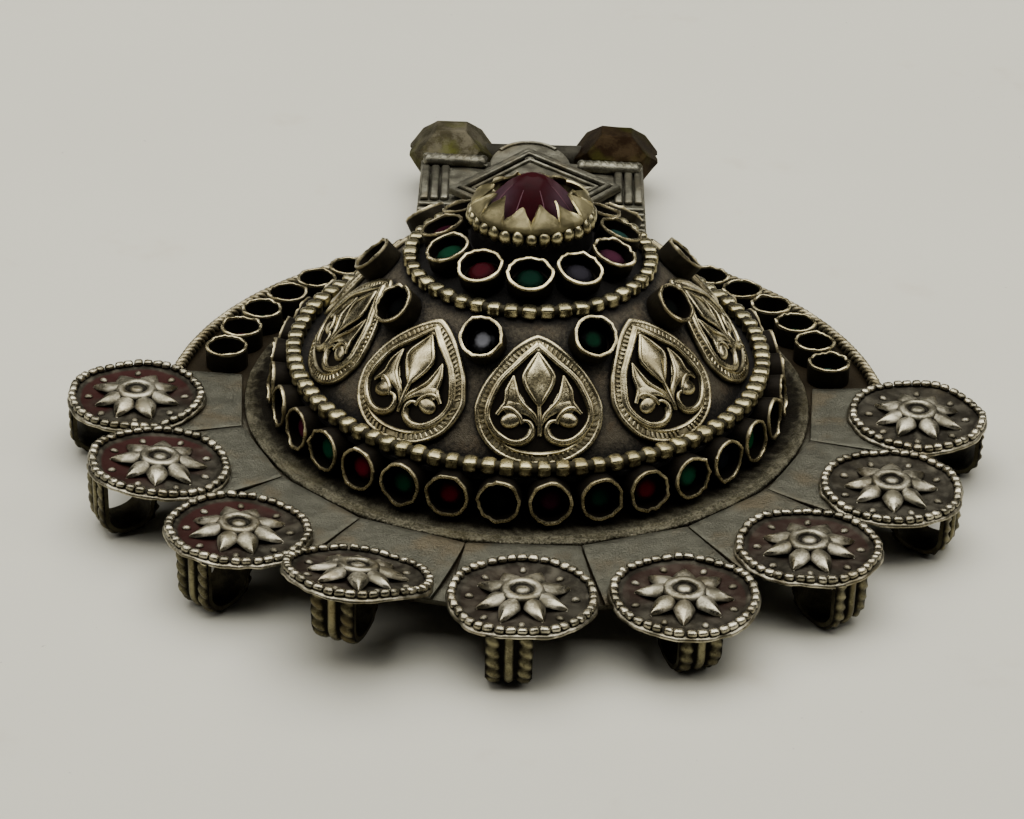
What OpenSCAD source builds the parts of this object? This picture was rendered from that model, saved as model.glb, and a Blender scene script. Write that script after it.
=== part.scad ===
// Domed pendant of soldered white metal with glass stones, lying on its back.
// Millimetres, +Z up, +Y towards the neck, Z = 0 on the surface that it lies on.
// Pieces are drawn round the dome's axis, with Z = 0 on the strips' top face, and moved at the end.

/* [Overall] */
// Height of the flower strips' top face above the table
rest_h = 5.3; // [5:0.1:5.6]
// Clearance kept between pieces that meet
gap = 0.1; // [0.05:0.01:0.15]

/* [Back plate] */
// Radius of the back plate
plate_r = 38.3; // [38.2:0.1:38.5]
// How far the plate's centre lies in front of the dome's axis
plate_shift = 1.9; // [1.8:0.1:2]
// Thickness of the back plate
plate_t = 0.9; // [0.7:0.1:1.2]
// Outer radius of the flat flange round the drum
flange_r = 29.7; // [29.5:0.1:29.8]
// Width of the rope border on the rear edge of the plate
border_w = 1.2; // [1:0.1:1.4]

/* [Dome] */
// Outer radius of the drum wall
drum_r = 24.2; // [24:0.1:24.4]
// Height of the drum's upper ledge
drum_h = 4.45; // [4.45:0.05:4.5]
// Radius of the slope at its foot
slope_foot_r = 22.8; // [22.6:0.1:22.8]
// Radius of the slope at its top
slope_top_r = 12.9; // [12.8:0.1:13]
// Height of the slope's top
slope_top_h = 15.5; // [15.4:0.1:15.6]
// How far the slope bulges past a straight cone
slope_bulge = 0.7; // [0.6:0.1:1]
// Radius of the round boss under the centre setting
boss_r = 6.2; // [6:0.1:6.3]
// Height of the boss
boss_h = 20.5; // [20.4:0.1:20.6]
// Wall of the dome
shell_t = 0.8; // [0.7:0.1:1]

/* [Beaded wires] */
// Blocks round the lower wire
lower_blocks = 85; // [80:1:88]
// Blocks round the upper wire
upper_blocks = 44; // [40:1:46]
// Beads round the centre setting
centre_beads = 29; // [26:1:30]

/* [Collets] */
// Outside diameter of a drum collet
drum_collet_d = 4.4; // [4.3:0.1:4.5]
// Outside diameter of a collet on the slope or the rear of the plate
collet_d = 4.5; // [4.4:0.1:4.6]
// Outside diameter of a collet on the top tier
tier_collet_d = 4.7; // [4.6:0.1:4.8]
// Wall of a collet
collet_t = 0.42; // [0.4:0.02:0.5]
// Collets round the drum
drum_collets = 33; // [29:2:33]
// Collets round the top tier
tier_collets = 11; // [9:1:11]
// Collets on each side of the plate's rear
rear_collets = 7; // [5:1:7]

/* [Hearts] */
// Hearts round the slope, with a collet between each two
hearts = 9; // [9:1:9]
// Turn of the first heart from the front
heart_turn = 3.5; // [0:0.5:4]
// Width of a heart
heart_w = 12.8; // [12:0.1:13]
// Thickness of a heart's plate
heart_t = 0.5; // [0.4:0.1:0.7]

/* [Flower strips] */
// Distance of a flower's centre from the dome's axis
flower_ring_r = 41; // [40.8:0.1:41.2]
// Diameter of a flower disc
flower_d = 14.8; // [14.6:0.1:15]
// Angle from one strip to the next
strip_step = 21.2; // [21.1:0.1:21.3]
// Thickness of a strip
strip_t = 0.5; // [0.4:0.1:0.5]
// Width of a hanging loop
loop_w = 4.8; // [4.4:0.1:5]
// Distance of a loop's middle from the dome's axis
loop_ring_r = 45.5; // [45.3:0.1:45.7]

/* [Neck and bail] */
// Width of the neck
neck_w = 27.2; // [26.8:0.1:27.4]
// Distance of the neck's far edge from the dome's axis
neck_end = 57.9; // [57.7:0.1:57.9]
// Turn of the rope bar that crosses the neck's far end
bar_turn = -3; // [-3:1:0]
// Turn of the diamond plaque, which sits askew
diamond_turn = 5; // [0:1:6]
// Half the width of the diamond plaque
diamond_w = 10.4; // [10:0.1:10.6]
// Half the length of the diamond plaque
diamond_l = 11.3; // [11:0.1:11.3]
// Length of a knob across the neck
knob_l = 10.6; // [10.4:0.1:10.8]
// Depth of a knob along the pendant
knob_d = 8; // [7.8:0.1:8.2]
// Height of a knob
knob_h = 8.6; // [8.4:0.1:8.8]
// Diameter of the bail tube's bore, for the hanging cord
bail_bore_d = 2.2; // [2:0.1:2.4]

/* [Hidden] */
$fn = 64;
silver = [0.62, 0.60, 0.54];
worn = [0.74, 0.71, 0.60];
dark = [0.33, 0.31, 0.28];
green_glass = [0.03, 0.22, 0.12];
red_glass = [0.35, 0.03, 0.06];
smoke_glass = [0.16, 0.16, 0.20];

plate_top = -strip_t - gap;
loop_out = 2.6;
loop_back = 2.2;
loop_in = 1.4;
loop_mid = loop_out - rest_h;
knob_mid_x = 10.35;
knob_mid_y = neck_end + gap + knob_d / 2;
knob_mid_z = knob_h / 2 - rest_h;
neck_half = neck_w / 2;
front_reach = flower_ring_r + flower_d / 2;
rear_reach = knob_mid_y + knob_d / 2;
axis_y = (front_reach - rear_reach) / 2;

// The slope's profile is an arc through its foot and its top
slope_run = slope_foot_r - slope_top_r;
slope_rise = slope_top_h - drum_h;
slope_chord = norm([slope_run, slope_rise]);
slope_tilt = atan2(slope_rise, slope_run);
arc_r = (pow(slope_chord / 2, 2) + pow(slope_bulge, 2)) / (2 * slope_bulge);
arc_half = asin(slope_chord / 2 / arc_r);
arc_mid = 90 - slope_tilt;
arc_cx = (slope_foot_r + slope_top_r) / 2 - (arc_r - slope_bulge) * cos(arc_mid);
arc_cz = (drum_h + slope_top_h) / 2 - (arc_r - slope_bulge) * sin(arc_mid);
slope_len = arc_r * 2 * arc_half * PI / 180;

// Angle on the arc at a way up the slope from its foot
function arc_at(way) = arc_mid - arc_half + 2 * arc_half * way / slope_len;
// Radius and height of a point standing off the slope
function slope_point(way, off) =
    [arc_cx + (arc_r + off) * cos(arc_at(way)), arc_cz + (arc_r + off) * sin(arc_at(way))];
// A point u across and v up the slope's front, standing off the slope
function on_slope(u, v, off) =
    let (base = slope_point(v, 0), p = slope_point(v, off), a = u / base[0] * 180 / PI)
    [p[0] * sin(a), -p[0] * cos(a), p[1]];

// Section of the lower wire, on the drum's ledge, and the slots between the wires' blocks
lower_wire_in = 23.6;
lower_wire_out = 25.4;
lower_wire_h = 1.35;
wire_slot = 0.65;

// Places something that is drawn round the dome's axis
module place() {
    translate([0, axis_y, rest_h]) children();
}

// Carries a piece drawn at the front round to an angle, positive towards +X
module round_to(angle) {
    rotate([0, 0, angle]) children();
}

// A ring of a chamfered square section, cut into blocks that stand on an unbroken core
module blocked_ring(r_in, r_out, z_low, z_high, blocks, slot, depth, chamfer) {
    section = [
        [r_in + chamfer, z_low], [r_out - chamfer, z_low], [r_out, z_low + chamfer],
        [r_out, z_high - chamfer], [r_out - chamfer, z_high], [r_in + chamfer, z_high],
        [r_in, z_high - chamfer], [r_in, z_low + chamfer]
    ];
    difference() {
        rotate_extrude() polygon(section);
        for (i = [0:blocks - 1])
            rotate([0, 0, (i + 0.5) * 360 / blocks])
                translate([0, -slot / 2, z_low - 1])
                    difference() {
                        translate([r_in - 1, 0, 0]) cube([r_out - r_in + 2, slot, z_high - z_low + 2]);
                        translate([r_in + depth, -1, 1 + depth])
                            cube([r_out - r_in - 2 * depth, slot + 2, z_high - z_low - 2 * depth]);
                    }
    }
}

// An open tube that holds a stone
module collet(d, height) {
    difference() {
        cylinder(d = d, h = height);
        translate([0, 0, -1]) cylinder(d = d - 2 * collet_t, h = height + 2);
    }
}

// A round stone with eight facets sloping up to a flat table, standing on z = 0
module cut_stone(d, height) {
    rotate_extrude($fn = 8)
        polygon([[0, 0], [d / 2, 0], [d * 0.3, height], [0, height]]);
}

// Places on the drum, facing out and a little up, with z along the collet's axis
drum_lean = 8;
drum_rim_r = 27.1;
drum_rim_h = 2.68;
drum_collet_l = 3;
module on_drum(i) {
    round_to((i + 0.5) * 360 / drum_collets)
        translate([0, -drum_rim_r, drum_rim_h])
            rotate([90 - drum_lean, 0, 0])
                translate([0, 0, -drum_collet_l])
                    children();
}

// Places on the top tier, leaning out
tier_lean = 20;
tier_seat_r = 8.75;
tier_seat_h = 17.25;
module on_tier(i) {
    round_to(i * 360 / tier_collets)
        translate([0, -tier_seat_r, tier_seat_h])
            rotate([tier_lean, 0, 0])
                children();
}

// Places between the hearts, square to the slope
slope_collet_way = 11.9;
module on_slope_collet(i) {
    seat = slope_point(slope_collet_way, 0);
    round_to(heart_turn + (i + 0.5) * 360 / hearts)
        translate([0, -seat[0], seat[1]])
            rotate([90 - arc_at(slope_collet_way), 0, 0])
                children();
}

// Places on the plate's rear, behind the first and the last strip
rear_collet_r = 32.8;
rear_first = 100.2;
rear_step = 8.3;
module on_rear(i, side) {
    round_to(side * (rear_first + i * rear_step))
        translate([0, -rear_collet_r, plate_top])
            children();
}

// Back plate with its flange, rear rope border and rear collets
border_h = 1;
flange_h = 0.53;
ridge_r = 0.28;
rear_collet_h = 2.4;
module back_plate() {
    rear_start = 4.4;
    color(silver) place() {
        translate([0, -plate_shift, plate_top - plate_t]) cylinder(r = plate_r, h = plate_t);
        translate([0, 0, plate_top - gap])
            difference() {
                cylinder(r = flange_r, h = flange_h + gap);
                translate([0, 0, -1]) cylinder(r = drum_r + gap, h = flange_h + 2);
            }
        rotate_extrude() translate([flange_r - 0.6, plate_top + flange_h]) circle(r = ridge_r, $fn = 16);
        intersection() {
            translate([0, -plate_shift, 0])
                blocked_ring(plate_r - border_w, plate_r, plate_top - 0.4, plate_top + border_h,
                    110, 0.35, 0.3, 0.25);
            for (side = [-1, 1])
                translate([side * (neck_half + 0.3 + 30) - 30, rear_start, -5]) cube([60, 60, 10]);
        }
        for (side = [-1, 1])
            for (i = [0:rear_collets - 1])
                on_rear(i, side) translate([0, 0, -0.2]) collet(collet_d, rear_collet_h + 0.2);
    }
}

// Hollow dome: drum, slope, top tier and boss, with every collet soldered on
arc_steps = 4;
module dome() {
    ledge_r = 25;
    ledge_t = 0.6;
    tier_foot_r = 11.3;
    tier_top_h = 18.1;
    foot_h = plate_top + gap;
    slope_outer = [for (i = [0:arc_steps]) slope_point(slope_len * i / arc_steps, 0)];
    slope_inner = [for (i = [arc_steps:-1:0]) slope_point(slope_len * i / arc_steps, -shell_t)];
    outer = concat(
        [[drum_r - shell_t, foot_h], [drum_r, foot_h], [drum_r, drum_h - ledge_t]],
        [[ledge_r, drum_h - ledge_t], [ledge_r, drum_h]],
        slope_outer,
        [[tier_foot_r, slope_top_h], [boss_r, tier_top_h], [boss_r, boss_h], [0, boss_h]],
        [[0, boss_h - shell_t], [boss_r - shell_t, boss_h - shell_t]],
        [[boss_r - shell_t, tier_top_h - shell_t], [tier_foot_r, slope_top_h - shell_t - 0.3]],
        slope_inner,
        [[drum_r - shell_t, drum_h - shell_t]]
    );
    color(dark) place() {
        rotate_extrude() polygon(outer);
        difference() {
            union() for (i = [0:drum_collets - 1]) on_drum(i) collet(drum_collet_d, drum_collet_l);
            translate([0, 0, drum_h]) cylinder(r = lower_wire_out + gap, h = 5);
        }
        for (i = [0:tier_collets - 1])
            on_tier(i) translate([0, 0, -0.4]) collet(tier_collet_d, 2.3);
        for (i = [0:hearts - 1])
            on_slope_collet(i) translate([0, 0, -0.5]) collet(collet_d, 2.7);
    }
}

// Beaded wire between the drum and the slope
module lower_wire() {
    color(worn) place()
        blocked_ring(lower_wire_in, lower_wire_out, drum_h + gap, drum_h + gap + lower_wire_h,
            lower_blocks, wire_slot, 0.32, 0.3);
}

// Beaded wire between the slope and the top tier
module upper_wire() {
    color(worn) place()
        blocked_ring(11.6, 13.2, slope_top_h + gap, 16.75, upper_blocks, wire_slot, 0.3, 0.32);
}

// Ring of beads round the foot of the centre setting
module centre_bead_ring() {
    color(worn) place()
        blocked_ring(5.2, 6.65, boss_h + gap, 21.95, centre_beads, 0.3, 0.34, 0.42);
}

// Centre setting: a bowl on a short stem, its rim cut into pointed teeth bent over the stone
module centre_bezel() {
    teeth = 13;
    cut_w = 2.2;
    rim_h = 24.2;
    cut_foot = 22.9;
    bowl = [
        [0, boss_h + gap], [5, boss_h + gap], [5, 22], [6, 22.2], [6.2, 22.8], [5.9, 23.3], [4.2, rim_h],
        [4, rim_h - 0.3], [5.5, 23.1], [5.7, 22.8], [5.5, 22.5], [0, 22.3]
    ];
    color(worn) place()
        difference() {
            rotate_extrude() polygon(bowl);
            for (i = [0:teeth - 1])
                rotate([0, 0, (i + 0.5) * 360 / teeth])
                    translate([0, -3, 0])
                        rotate([90, 0, 0])
                            linear_extrude(4)
                                polygon([[0, cut_foot], [cut_w / 2, rim_h + 0.2], [-cut_w / 2, rim_h + 0.2]]);
        }
}

// Centre stone: a tall pointed glass with eight facets and a small table
module centre_stone() {
    girdle_r = 4.9;
    color(red_glass) place()
        rotate([0, 0, 22.5])
            rotate_extrude($fn = 8)
                polygon([
                    [0, 22.48], [girdle_r, 22.61], [girdle_r, 22.98], [3.55, 24], [1, 25.5],
                    [0.45, 25.8], [0, 25.8]
                ]);
}

// Stones of the drum, green and red by turns
stone_h = 1;
module drum_stone(i) {
    on_drum(i) translate([0, 0, 1.3]) cut_stone(drum_collet_d - 2 * collet_t - 2 * gap, stone_h);
}
drum_last = floor(drum_collets / 2);
module drum_green_stones() {
    color(green_glass) place() for (i = [-drum_last:drum_last]) if (i % 2 != 0) drum_stone(i);
}
module drum_red_stones() {
    color(red_glass) place() for (i = [-drum_last:drum_last]) if (i % 2 == 0) drum_stone(i);
}
module tier_stones() {
    color(green_glass) place()
        for (i = [0:tier_collets - 1])
            on_tier(i) translate([0, 0, 0.3]) cut_stone(tier_collet_d - 2 * collet_t - 2 * gap, stone_h);
}
module slope_stones() {
    color(smoke_glass) place()
        for (i = [0:hearts - 1])
            on_slope_collet(i) translate([0, 0, 0.35]) cut_stone(collet_d - 2 * collet_t - 2 * gap, stone_h);
}
module rear_stones() {
    color(green_glass) place()
        for (side = [-1, 1])
            for (i = [0:rear_collets - 1])
                on_rear(i, side) translate([0, 0, gap]) cut_stone(collet_d - 2 * collet_t - 2 * gap, stone_h);
}

// Outline of a heart plate: a pointed top over a round foot, scaled towards its middle
heart_mid_way = 5.2;
heart_up = 8;
heart_down = 5.1;
heart_sides = 24;
function bent(x, power) = sign(x) * pow(abs(x), power);
function heart_rim(a, part) = sin(a) > 0
    ? [part * heart_w / 2 * bent(cos(a), 1.45), part * heart_up * bent(sin(a), 1.45)]
    : [part * heart_w / 2 * cos(a), part * heart_down * sin(a)];
// Outline of the raised heart inside it, with two lobes and a notch at the foot
function lobed(a) = sin(a) > 0
    ? [5 * bent(cos(a), 1.5), 0.3 + 6.4 * bent(sin(a), 1.5)]
    : [5 * cos(a), 0.3 - 3 * bent(-sin(a), 0.8) + 1.7 * pow(abs(sin(a)), 9)];

// A heart's plate on the slope: rings of points from its underside round its edge and in to its field
module heart_plate() {
    under_off = 0.2;
    rings = [
        [0.5, under_off], [1, under_off - 0.04], [1, heart_t], [0.95, heart_t + 0.35], [0.88, heart_t + 0.35],
        [0.83, heart_t]
    ];
    count = len(rings);
    points = concat(
        [for (ring = rings) for (j = [0:heart_sides - 1])
            let (p = heart_rim((j + 0.5) * 360 / heart_sides, ring[0]))
            on_slope(p[0], heart_mid_way + p[1], ring[1])],
        [on_slope(0, heart_mid_way + 1, heart_t), on_slope(0, heart_mid_way + 1, under_off)]
    );
    walls = [for (k = [0:count - 2]) for (j = [0:heart_sides - 1])
        let (n = (j + 1) % heart_sides, a = k * heart_sides + j, b = k * heart_sides + n)
        [a, a + heart_sides, b + heart_sides, b]];
    last = (count - 1) * heart_sides;
    middle = count * heart_sides;
    top = [for (j = [0:heart_sides - 1]) [last + j, middle, last + (j + 1) % heart_sides]];
    under = [for (j = [0:heart_sides - 1]) [j, (j + 1) % heart_sides, middle + 1]];
    polyhedron(points, concat(walls, top, under), convexity = 6);
}

// A small stud on a heart, tapering to its top
module stud(p, r, height) {
    multmatrix(slope_frame(p[0], heart_mid_way + p[1], heart_t - 0.1))
        cylinder(r1 = r, r2 = r * 0.45, h = height + 0.1, $fn = 4);
}
function slope_frame(u, v, off) =
    let (
        o = on_slope(u, v, off),
        x = on_slope(u + 0.01, v, off) - o,
        y = on_slope(u, v + 0.01, off) - o,
        ex = x / norm(x),
        ez = cross(x, y) / norm(cross(x, y)),
        ey = cross(ez, ex)
    )
    [[ex[0], ey[0], ez[0], o[0]], [ex[1], ey[1], ez[1], o[1]], [ex[2], ey[2], ez[2], o[2]]];

// A raised line through studs
module ridge(path, r, height) {
    for (i = [0:len(path) - 2])
        hull() {
            stud(path[i], r, height);
            stud(path[i + 1], r, height);
        }
}

// One heart: plate, raised inner heart, bud on its stem, two leaves and two rounded scroll ends
module heart(k) {
    lobe_line = [for (j = [0:12]) lobed(-90 + j * 360 / 12)];
    color(worn) place() round_to(heart_turn + (k - 1) * 360 / hearts) {
        heart_plate();
        ridge(lobe_line, 0.32, 0.4);
        hull() {
            stud([0, 5.6], 0.3, 0.3);
            stud([1.1, 3.5], 0.4, 0.35);
            stud([-1.1, 3.5], 0.4, 0.35);
            stud([0, 0.8], 0.4, 0.3);
        }
        ridge([[0, 0.9], [0, -2]], 0.45, 0.38);
        for (side = [-1, 1]) {
            ridge([[side * 0.4, -0.7], [side * 1.8, 0.7], [side * 2.6, 3.2]], 0.42, 0.33);
            ridge([[side * 3, 1.2], [side * 3.7, -0.5]], 0.32, 0.36);
            stud([side * 2.4, -0.9], 0.85, 0.42);
        }
    }
}

// How each strip's end is bent, from the first strip to the last: the disc's lift, its tilt with the
// outer edge up and its way outwards, and the loop's lift and its way sideways
DISC_LIFT = [0, 0.1, 0.2, 2, 0.45, 0, 0, 0, 0.1];
DISC_TILT = [0, 0, 3, 15, 2, 0, 0, 0, 0];
DISC_OUT = [0, 0, 0, 2, 0, 1.2, 0, 0, 0];
LOOP_LIFT = [0, 0, 0, 2, 0, 0, 0, 0, 0];
LOOP_SIDE = [0, 0, 0.8, -0.4, -1.1, -0.5, -1, 0, 0];
disc_t = 0.5;

// A thin disc with a beaded rim and an eight-petalled daisy, centred on the origin
module flower_disc() {
    rim_in = 6.15;
    rim_out = 6.95;
    beads = 40;
    cylinder(d = flower_d, h = disc_t);
    difference() {
        rotate_extrude() translate([rim_in, disc_t - 0.1]) square([rim_out - rim_in, 0.75]);
        for (i = [0:beads - 1])
            rotate([0, 0, i * 360 / beads])
                translate([rim_in - 0.5, -0.16, disc_t + 0.2])
                    cube([rim_out - rim_in + 1, 0.32, 1]);
    }
    for (i = [0:7])
        rotate([0, 0, (i + 0.5) * 45]) {
            linear_extrude(disc_t + 0.4)
                polygon([[1.2, -0.9], [3, -1.2], [5.1, 0], [3, 1.2], [1.2, 0.9]]);
            linear_extrude(disc_t + 0.7)
                polygon([[1.2, -0.5], [3, -0.55], [4.4, 0], [3, 0.55], [1.2, 0.5]]);
            rotate([0, 0, 22.5]) translate([4.9, 0, 0]) cylinder(r = 0.35, h = disc_t + 0.4, $fn = 16);
        }
    difference() {
        cylinder(r = 1.9, h = disc_t + 0.85);
        translate([0, 0, disc_t + 0.6])
            difference() {
                cylinder(r = 1.5, h = 1);
                cylinder(r = 0.8, h = 1);
            }
    }
}

// Side view of a hanging loop: two legs joined by a half round, x away from the dome
module loop_outline(r_out, r_in, inner_leg, outer_leg) {
    difference() {
        union() {
            circle(r = r_out);
            translate([-r_out, 0]) square([r_out, inner_leg]);
            square([r_out, outer_leg]);
        }
        circle(r = r_in);
        translate([-r_in, 0]) square([2 * r_in, max(inner_leg, outer_leg) + 1]);
    }
}

// One unit: a flat strip, its flower disc and its ribbed hanging loop, soldered together
module flower_strip(k) {
    lift = DISC_LIFT[k - 1];
    tilt = DISC_TILT[k - 1];
    disc_ring_r = flower_ring_r + DISC_OUT[k - 1];
    loop_z = loop_mid + LOOP_LIFT[k - 1];
    half = strip_step / 2;
    in_r = 30;
    out_r = 40.5;
    tongue_w = 7;
    tongue_l = 3.6;
    side_gap = gap / 2 / cos(half);
    past_disc = loop_ring_r - disc_ring_r;
    inner_leg = lift + (past_disc - (loop_back + loop_in) / 2) * tan(tilt) - 0.15 - loop_z;
    outer_leg = lift + (past_disc + (loop_out + loop_in) / 2) * tan(tilt) + 0.2 - loop_z;
    rib_w = 1.2;
    color(silver) place() round_to((k - 5) * strip_step) {
        translate([0, 0, -strip_t])
            linear_extrude(strip_t)
                polygon([
                    [-in_r * tan(half) + side_gap, -in_r], [in_r * tan(half) - side_gap, -in_r],
                    [out_r * tan(half) - side_gap, -out_r], [-out_r * tan(half) + side_gap, -out_r]
                ]);
        hull() {
            translate([-tongue_w / 2, -out_r, -strip_t]) cube([tongue_w, 1.9, strip_t]);
            translate([0, -disc_ring_r, lift])
                rotate([-tilt, 0, 0])
                    translate([-tongue_w / 2, -tongue_l, -strip_t]) cube([tongue_w, tongue_l, strip_t + 0.1]);
        }
        translate([0, -disc_ring_r, lift])
            rotate([-tilt, 0, 0])
                rotate([0, 0, -90])
                    flower_disc();
        translate([LOOP_SIDE[k - 1], -loop_ring_r, loop_z])
            rotate([0, 0, -90])
                rotate([90, 0, 0]) {
                    translate([0, 0, -loop_w / 2])
                        linear_extrude(loop_w) loop_outline(loop_back, loop_in, inner_leg, outer_leg);
                    for (i = [-1, 0, 1])
                        translate([0, 0, i * (loop_w - rib_w) / 2 - rib_w / 2])
                            linear_extrude(rib_w)
                                loop_outline(loop_out, loop_in + 0.1, inner_leg, outer_leg);
                }
    }
}

// Neck plate with cross ridges in front, side ribs and a rope bar at its far end, open under the plaque
neck_start = 31;
neck_top = 0.5;
module neck() {
    bar_r = 0.95;
    bar_y = neck_end - 2;
    bar_break = 5.4;
    cross_step = 1.5;
    color(silver) place() {
        translate([-neck_half, neck_start, plate_top + gap])
            cube([neck_w, neck_end - neck_start, neck_top - plate_top - gap]);
        for (i = [0:6])
            translate([-neck_half, 35.2 + i * cross_step, neck_top - 0.1]) cube([neck_w, 0.8, 0.5]);
        for (side = [-1, 1])
            for (i = [0:2])
                translate([side * (neck_half - 0.7 - i * 1.2) - 0.3, 46.2, neck_top - 0.1])
                    cube([0.6, bar_y - 46.2, 0.5]);
        translate([0, bar_y, neck_top + 0.45])
            rotate([0, 0, bar_turn])
                difference() {
                    rotate([0, 90, 0]) cylinder(r = bar_r, h = neck_w - 0.2, center = true, $fn = 24);
                    for (i = [-13:13])
                        translate([i, 0, bar_r - 0.3])
                            rotate([0, 0, 35])
                                translate([-0.15, -2, 0])
                                    cube([0.3, 4, 1]);
                    translate([-bar_break, -2, -0.1]) cube([2 * bar_break, 4, 3]);
                }
    }
}

// Diamond plaque on the neck: three frames round a field of leaves, with a small hole at the back
// and a rounded end behind its far tip, over the bail tube
module diamond(part) {
    polygon([[0, -diamond_l * part], [diamond_w * part, 0], [0, diamond_l * part], [-diamond_w * part, 0]]);
}
module diamond_frame(outer, inner, height) {
    linear_extrude(height)
        difference() {
            diamond(outer);
            diamond(inner);
        }
}
module diamond_plaque() {
    foot = neck_top + 0.5;
    mid_x = 0.4;
    mid_y = 47.8;
    lobe_r = 4.9;
    lobe_y = 7.65;
    leaf = [[0.6, 0], [1.1, 1.6], [0, 4.4], [-1.1, 1.6], [-0.6, 0]];
    color(silver) place() translate([mid_x, mid_y, foot]) rotate([0, 0, diamond_turn])
        difference() {
            union() {
                linear_extrude(0.5) diamond(1);
                translate([0, lobe_y, 0]) cylinder(r = lobe_r, h = 0.5);
                diamond_frame(1, 0.91, 0.85);
                diamond_frame(0.87, 0.8, 1.15);
                diamond_frame(0.68, 0.6, 0.9);
                cylinder(r = 1.4, h = 1);
                for (a = [-50, 0, 50, 130, 180, 230])
                    rotate([0, 0, a]) linear_extrude(0.8) polygon(leaf);
            }
            translate([0, diamond_l * 0.74, -1]) cylinder(d = 0.9, h = 4);
        }
}

// A knob: a block with all its edges cut off, the lower ones wider by some way, bored for the bail tube
module cut_block(w, h, c_w, c_h, low) {
    length = 20;
    translate([0, 0, -length / 2])
        linear_extrude(length)
            polygon([
                [-w / 2 + c_w + low, -h / 2], [w / 2 - c_w - low, -h / 2],
                [w / 2, -h / 2 + c_h], [w / 2, h / 2 - c_h],
                [w / 2 - c_w, h / 2], [-w / 2 + c_w, h / 2],
                [-w / 2, h / 2 - c_h], [-w / 2, -h / 2 + c_h]
            ]);
}
bail_d = 3.4;
module knob(side) {
    color([0.45, 0.40, 0.25]) place()
        translate([side * knob_mid_x, knob_mid_y, knob_mid_z])
            difference() {
                intersection() {
                    cut_block(knob_l, knob_d, 2.4, 2.2, 0);
                    rotate([90, 0, 0]) cut_block(knob_l, knob_h, 2.1, 3.3, 1);
                    rotate([90, 0, 90]) cut_block(knob_d, knob_h, 2.2, 2.5, 0);
                }
                rotate([0, 90, 0]) cylinder(d = bail_d + 2 * gap, h = 30, center = true);
            }
}

// Bail: a plain tube through both knobs, for the hanging cord
module bail_tube() {
    tube_l = 2 * knob_mid_x + knob_l - 0.2;
    color(silver) place()
        translate([0, knob_mid_y, knob_mid_z])
            rotate([0, 90, 0])
                difference() {
                    cylinder(d = bail_d, h = tube_l, center = true);
                    cylinder(d = bail_bore_d, h = tube_l + 2, center = true);
                }
}

back_plate();
dome();
lower_wire();
upper_wire();
centre_bead_ring();
centre_bezel();
centre_stone();
drum_green_stones();
drum_red_stones();
tier_stones();
slope_stones();
rear_stones();
heart(1);  // heart_1
heart(2);  // heart_2
heart(3);  // heart_3
heart(4);  // heart_4
heart(5);  // heart_5
heart(6);  // heart_6
heart(7);  // heart_7
heart(8);  // heart_8
heart(9);  // heart_9
flower_strip(1);  // flower_strip_1
flower_strip(2);  // flower_strip_2
flower_strip(3);  // flower_strip_3
flower_strip(4);  // flower_strip_4
flower_strip(5);  // flower_strip_5
flower_strip(6);  // flower_strip_6
flower_strip(7);  // flower_strip_7
flower_strip(8);  // flower_strip_8
flower_strip(9);  // flower_strip_9
neck();
diamond_plaque();
knob(-1);  // knob_left
knob(1);  // knob_right
bail_tube();
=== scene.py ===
"""Looks of the domed pendant: worn white metal with dark recesses, glass stones, hearts and flower discs."""

import math
import random

import bpy
from bpy.props import FloatProperty, FloatVectorProperty, IntProperty, PointerProperty
from mathutils import Matrix, Vector, noise


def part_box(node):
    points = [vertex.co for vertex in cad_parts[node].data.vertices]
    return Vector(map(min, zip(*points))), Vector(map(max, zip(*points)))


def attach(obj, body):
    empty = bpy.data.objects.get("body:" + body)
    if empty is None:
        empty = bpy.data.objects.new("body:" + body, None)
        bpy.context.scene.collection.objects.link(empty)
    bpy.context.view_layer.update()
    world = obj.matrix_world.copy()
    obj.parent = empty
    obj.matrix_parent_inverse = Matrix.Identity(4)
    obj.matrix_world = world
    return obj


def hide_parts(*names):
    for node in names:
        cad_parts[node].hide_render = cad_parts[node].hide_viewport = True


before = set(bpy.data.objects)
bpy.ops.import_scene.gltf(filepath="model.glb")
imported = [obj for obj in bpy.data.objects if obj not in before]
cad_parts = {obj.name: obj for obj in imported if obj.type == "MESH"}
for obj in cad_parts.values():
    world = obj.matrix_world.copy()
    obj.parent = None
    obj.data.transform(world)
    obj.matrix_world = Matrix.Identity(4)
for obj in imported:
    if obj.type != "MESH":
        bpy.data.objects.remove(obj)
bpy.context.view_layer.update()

bl_info = {
    "name": "Domed Pendant",
    "version": (1, 0, 0),
    "blender": (4, 5, 0),
    "location": "3D View > Sidebar > Pendant",
    "description": "Dresses the domed pendant with its wires, collets, stones, hearts and flower strips",
    "category": "Add Mesh",
}

MM = 0.001
DOME_LOW, DOME_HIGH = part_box("dome")
AXIS_Y = (DOME_LOW.y + DOME_HIGH.y) / 2
# Height of the strips' faces above the floor, in millimetres
REST_H = 5.3
TO_ROW = Matrix.Translation((0, AXIS_Y, REST_H * MM)) @ Matrix.Scale(MM, 4)


# Modelling helpers. Pieces are modelled in millimetres round the dome's axis.


def turn(degrees):
    return Matrix.Rotation(math.radians(degrees), 4, "Z")


def lean(degrees):
    return Matrix.Rotation(math.radians(degrees), 4, "X")


def shift(x, y, z):
    return Matrix.Translation((x, y, z))


def stretch(x, y, z):
    return Matrix.Diagonal((x, y, z, 1))


def deselect():
    if bpy.context.object and bpy.context.object.mode != "OBJECT":
        bpy.ops.object.mode_set(mode="OBJECT")
    bpy.ops.object.select_all(action="DESELECT")


def active(piece):
    deselect()
    piece.select_set(True)
    bpy.context.view_layer.objects.active = piece
    return piece


def named(name):
    piece = bpy.context.object
    piece.name = name
    piece.data.name = name
    return piece


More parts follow.
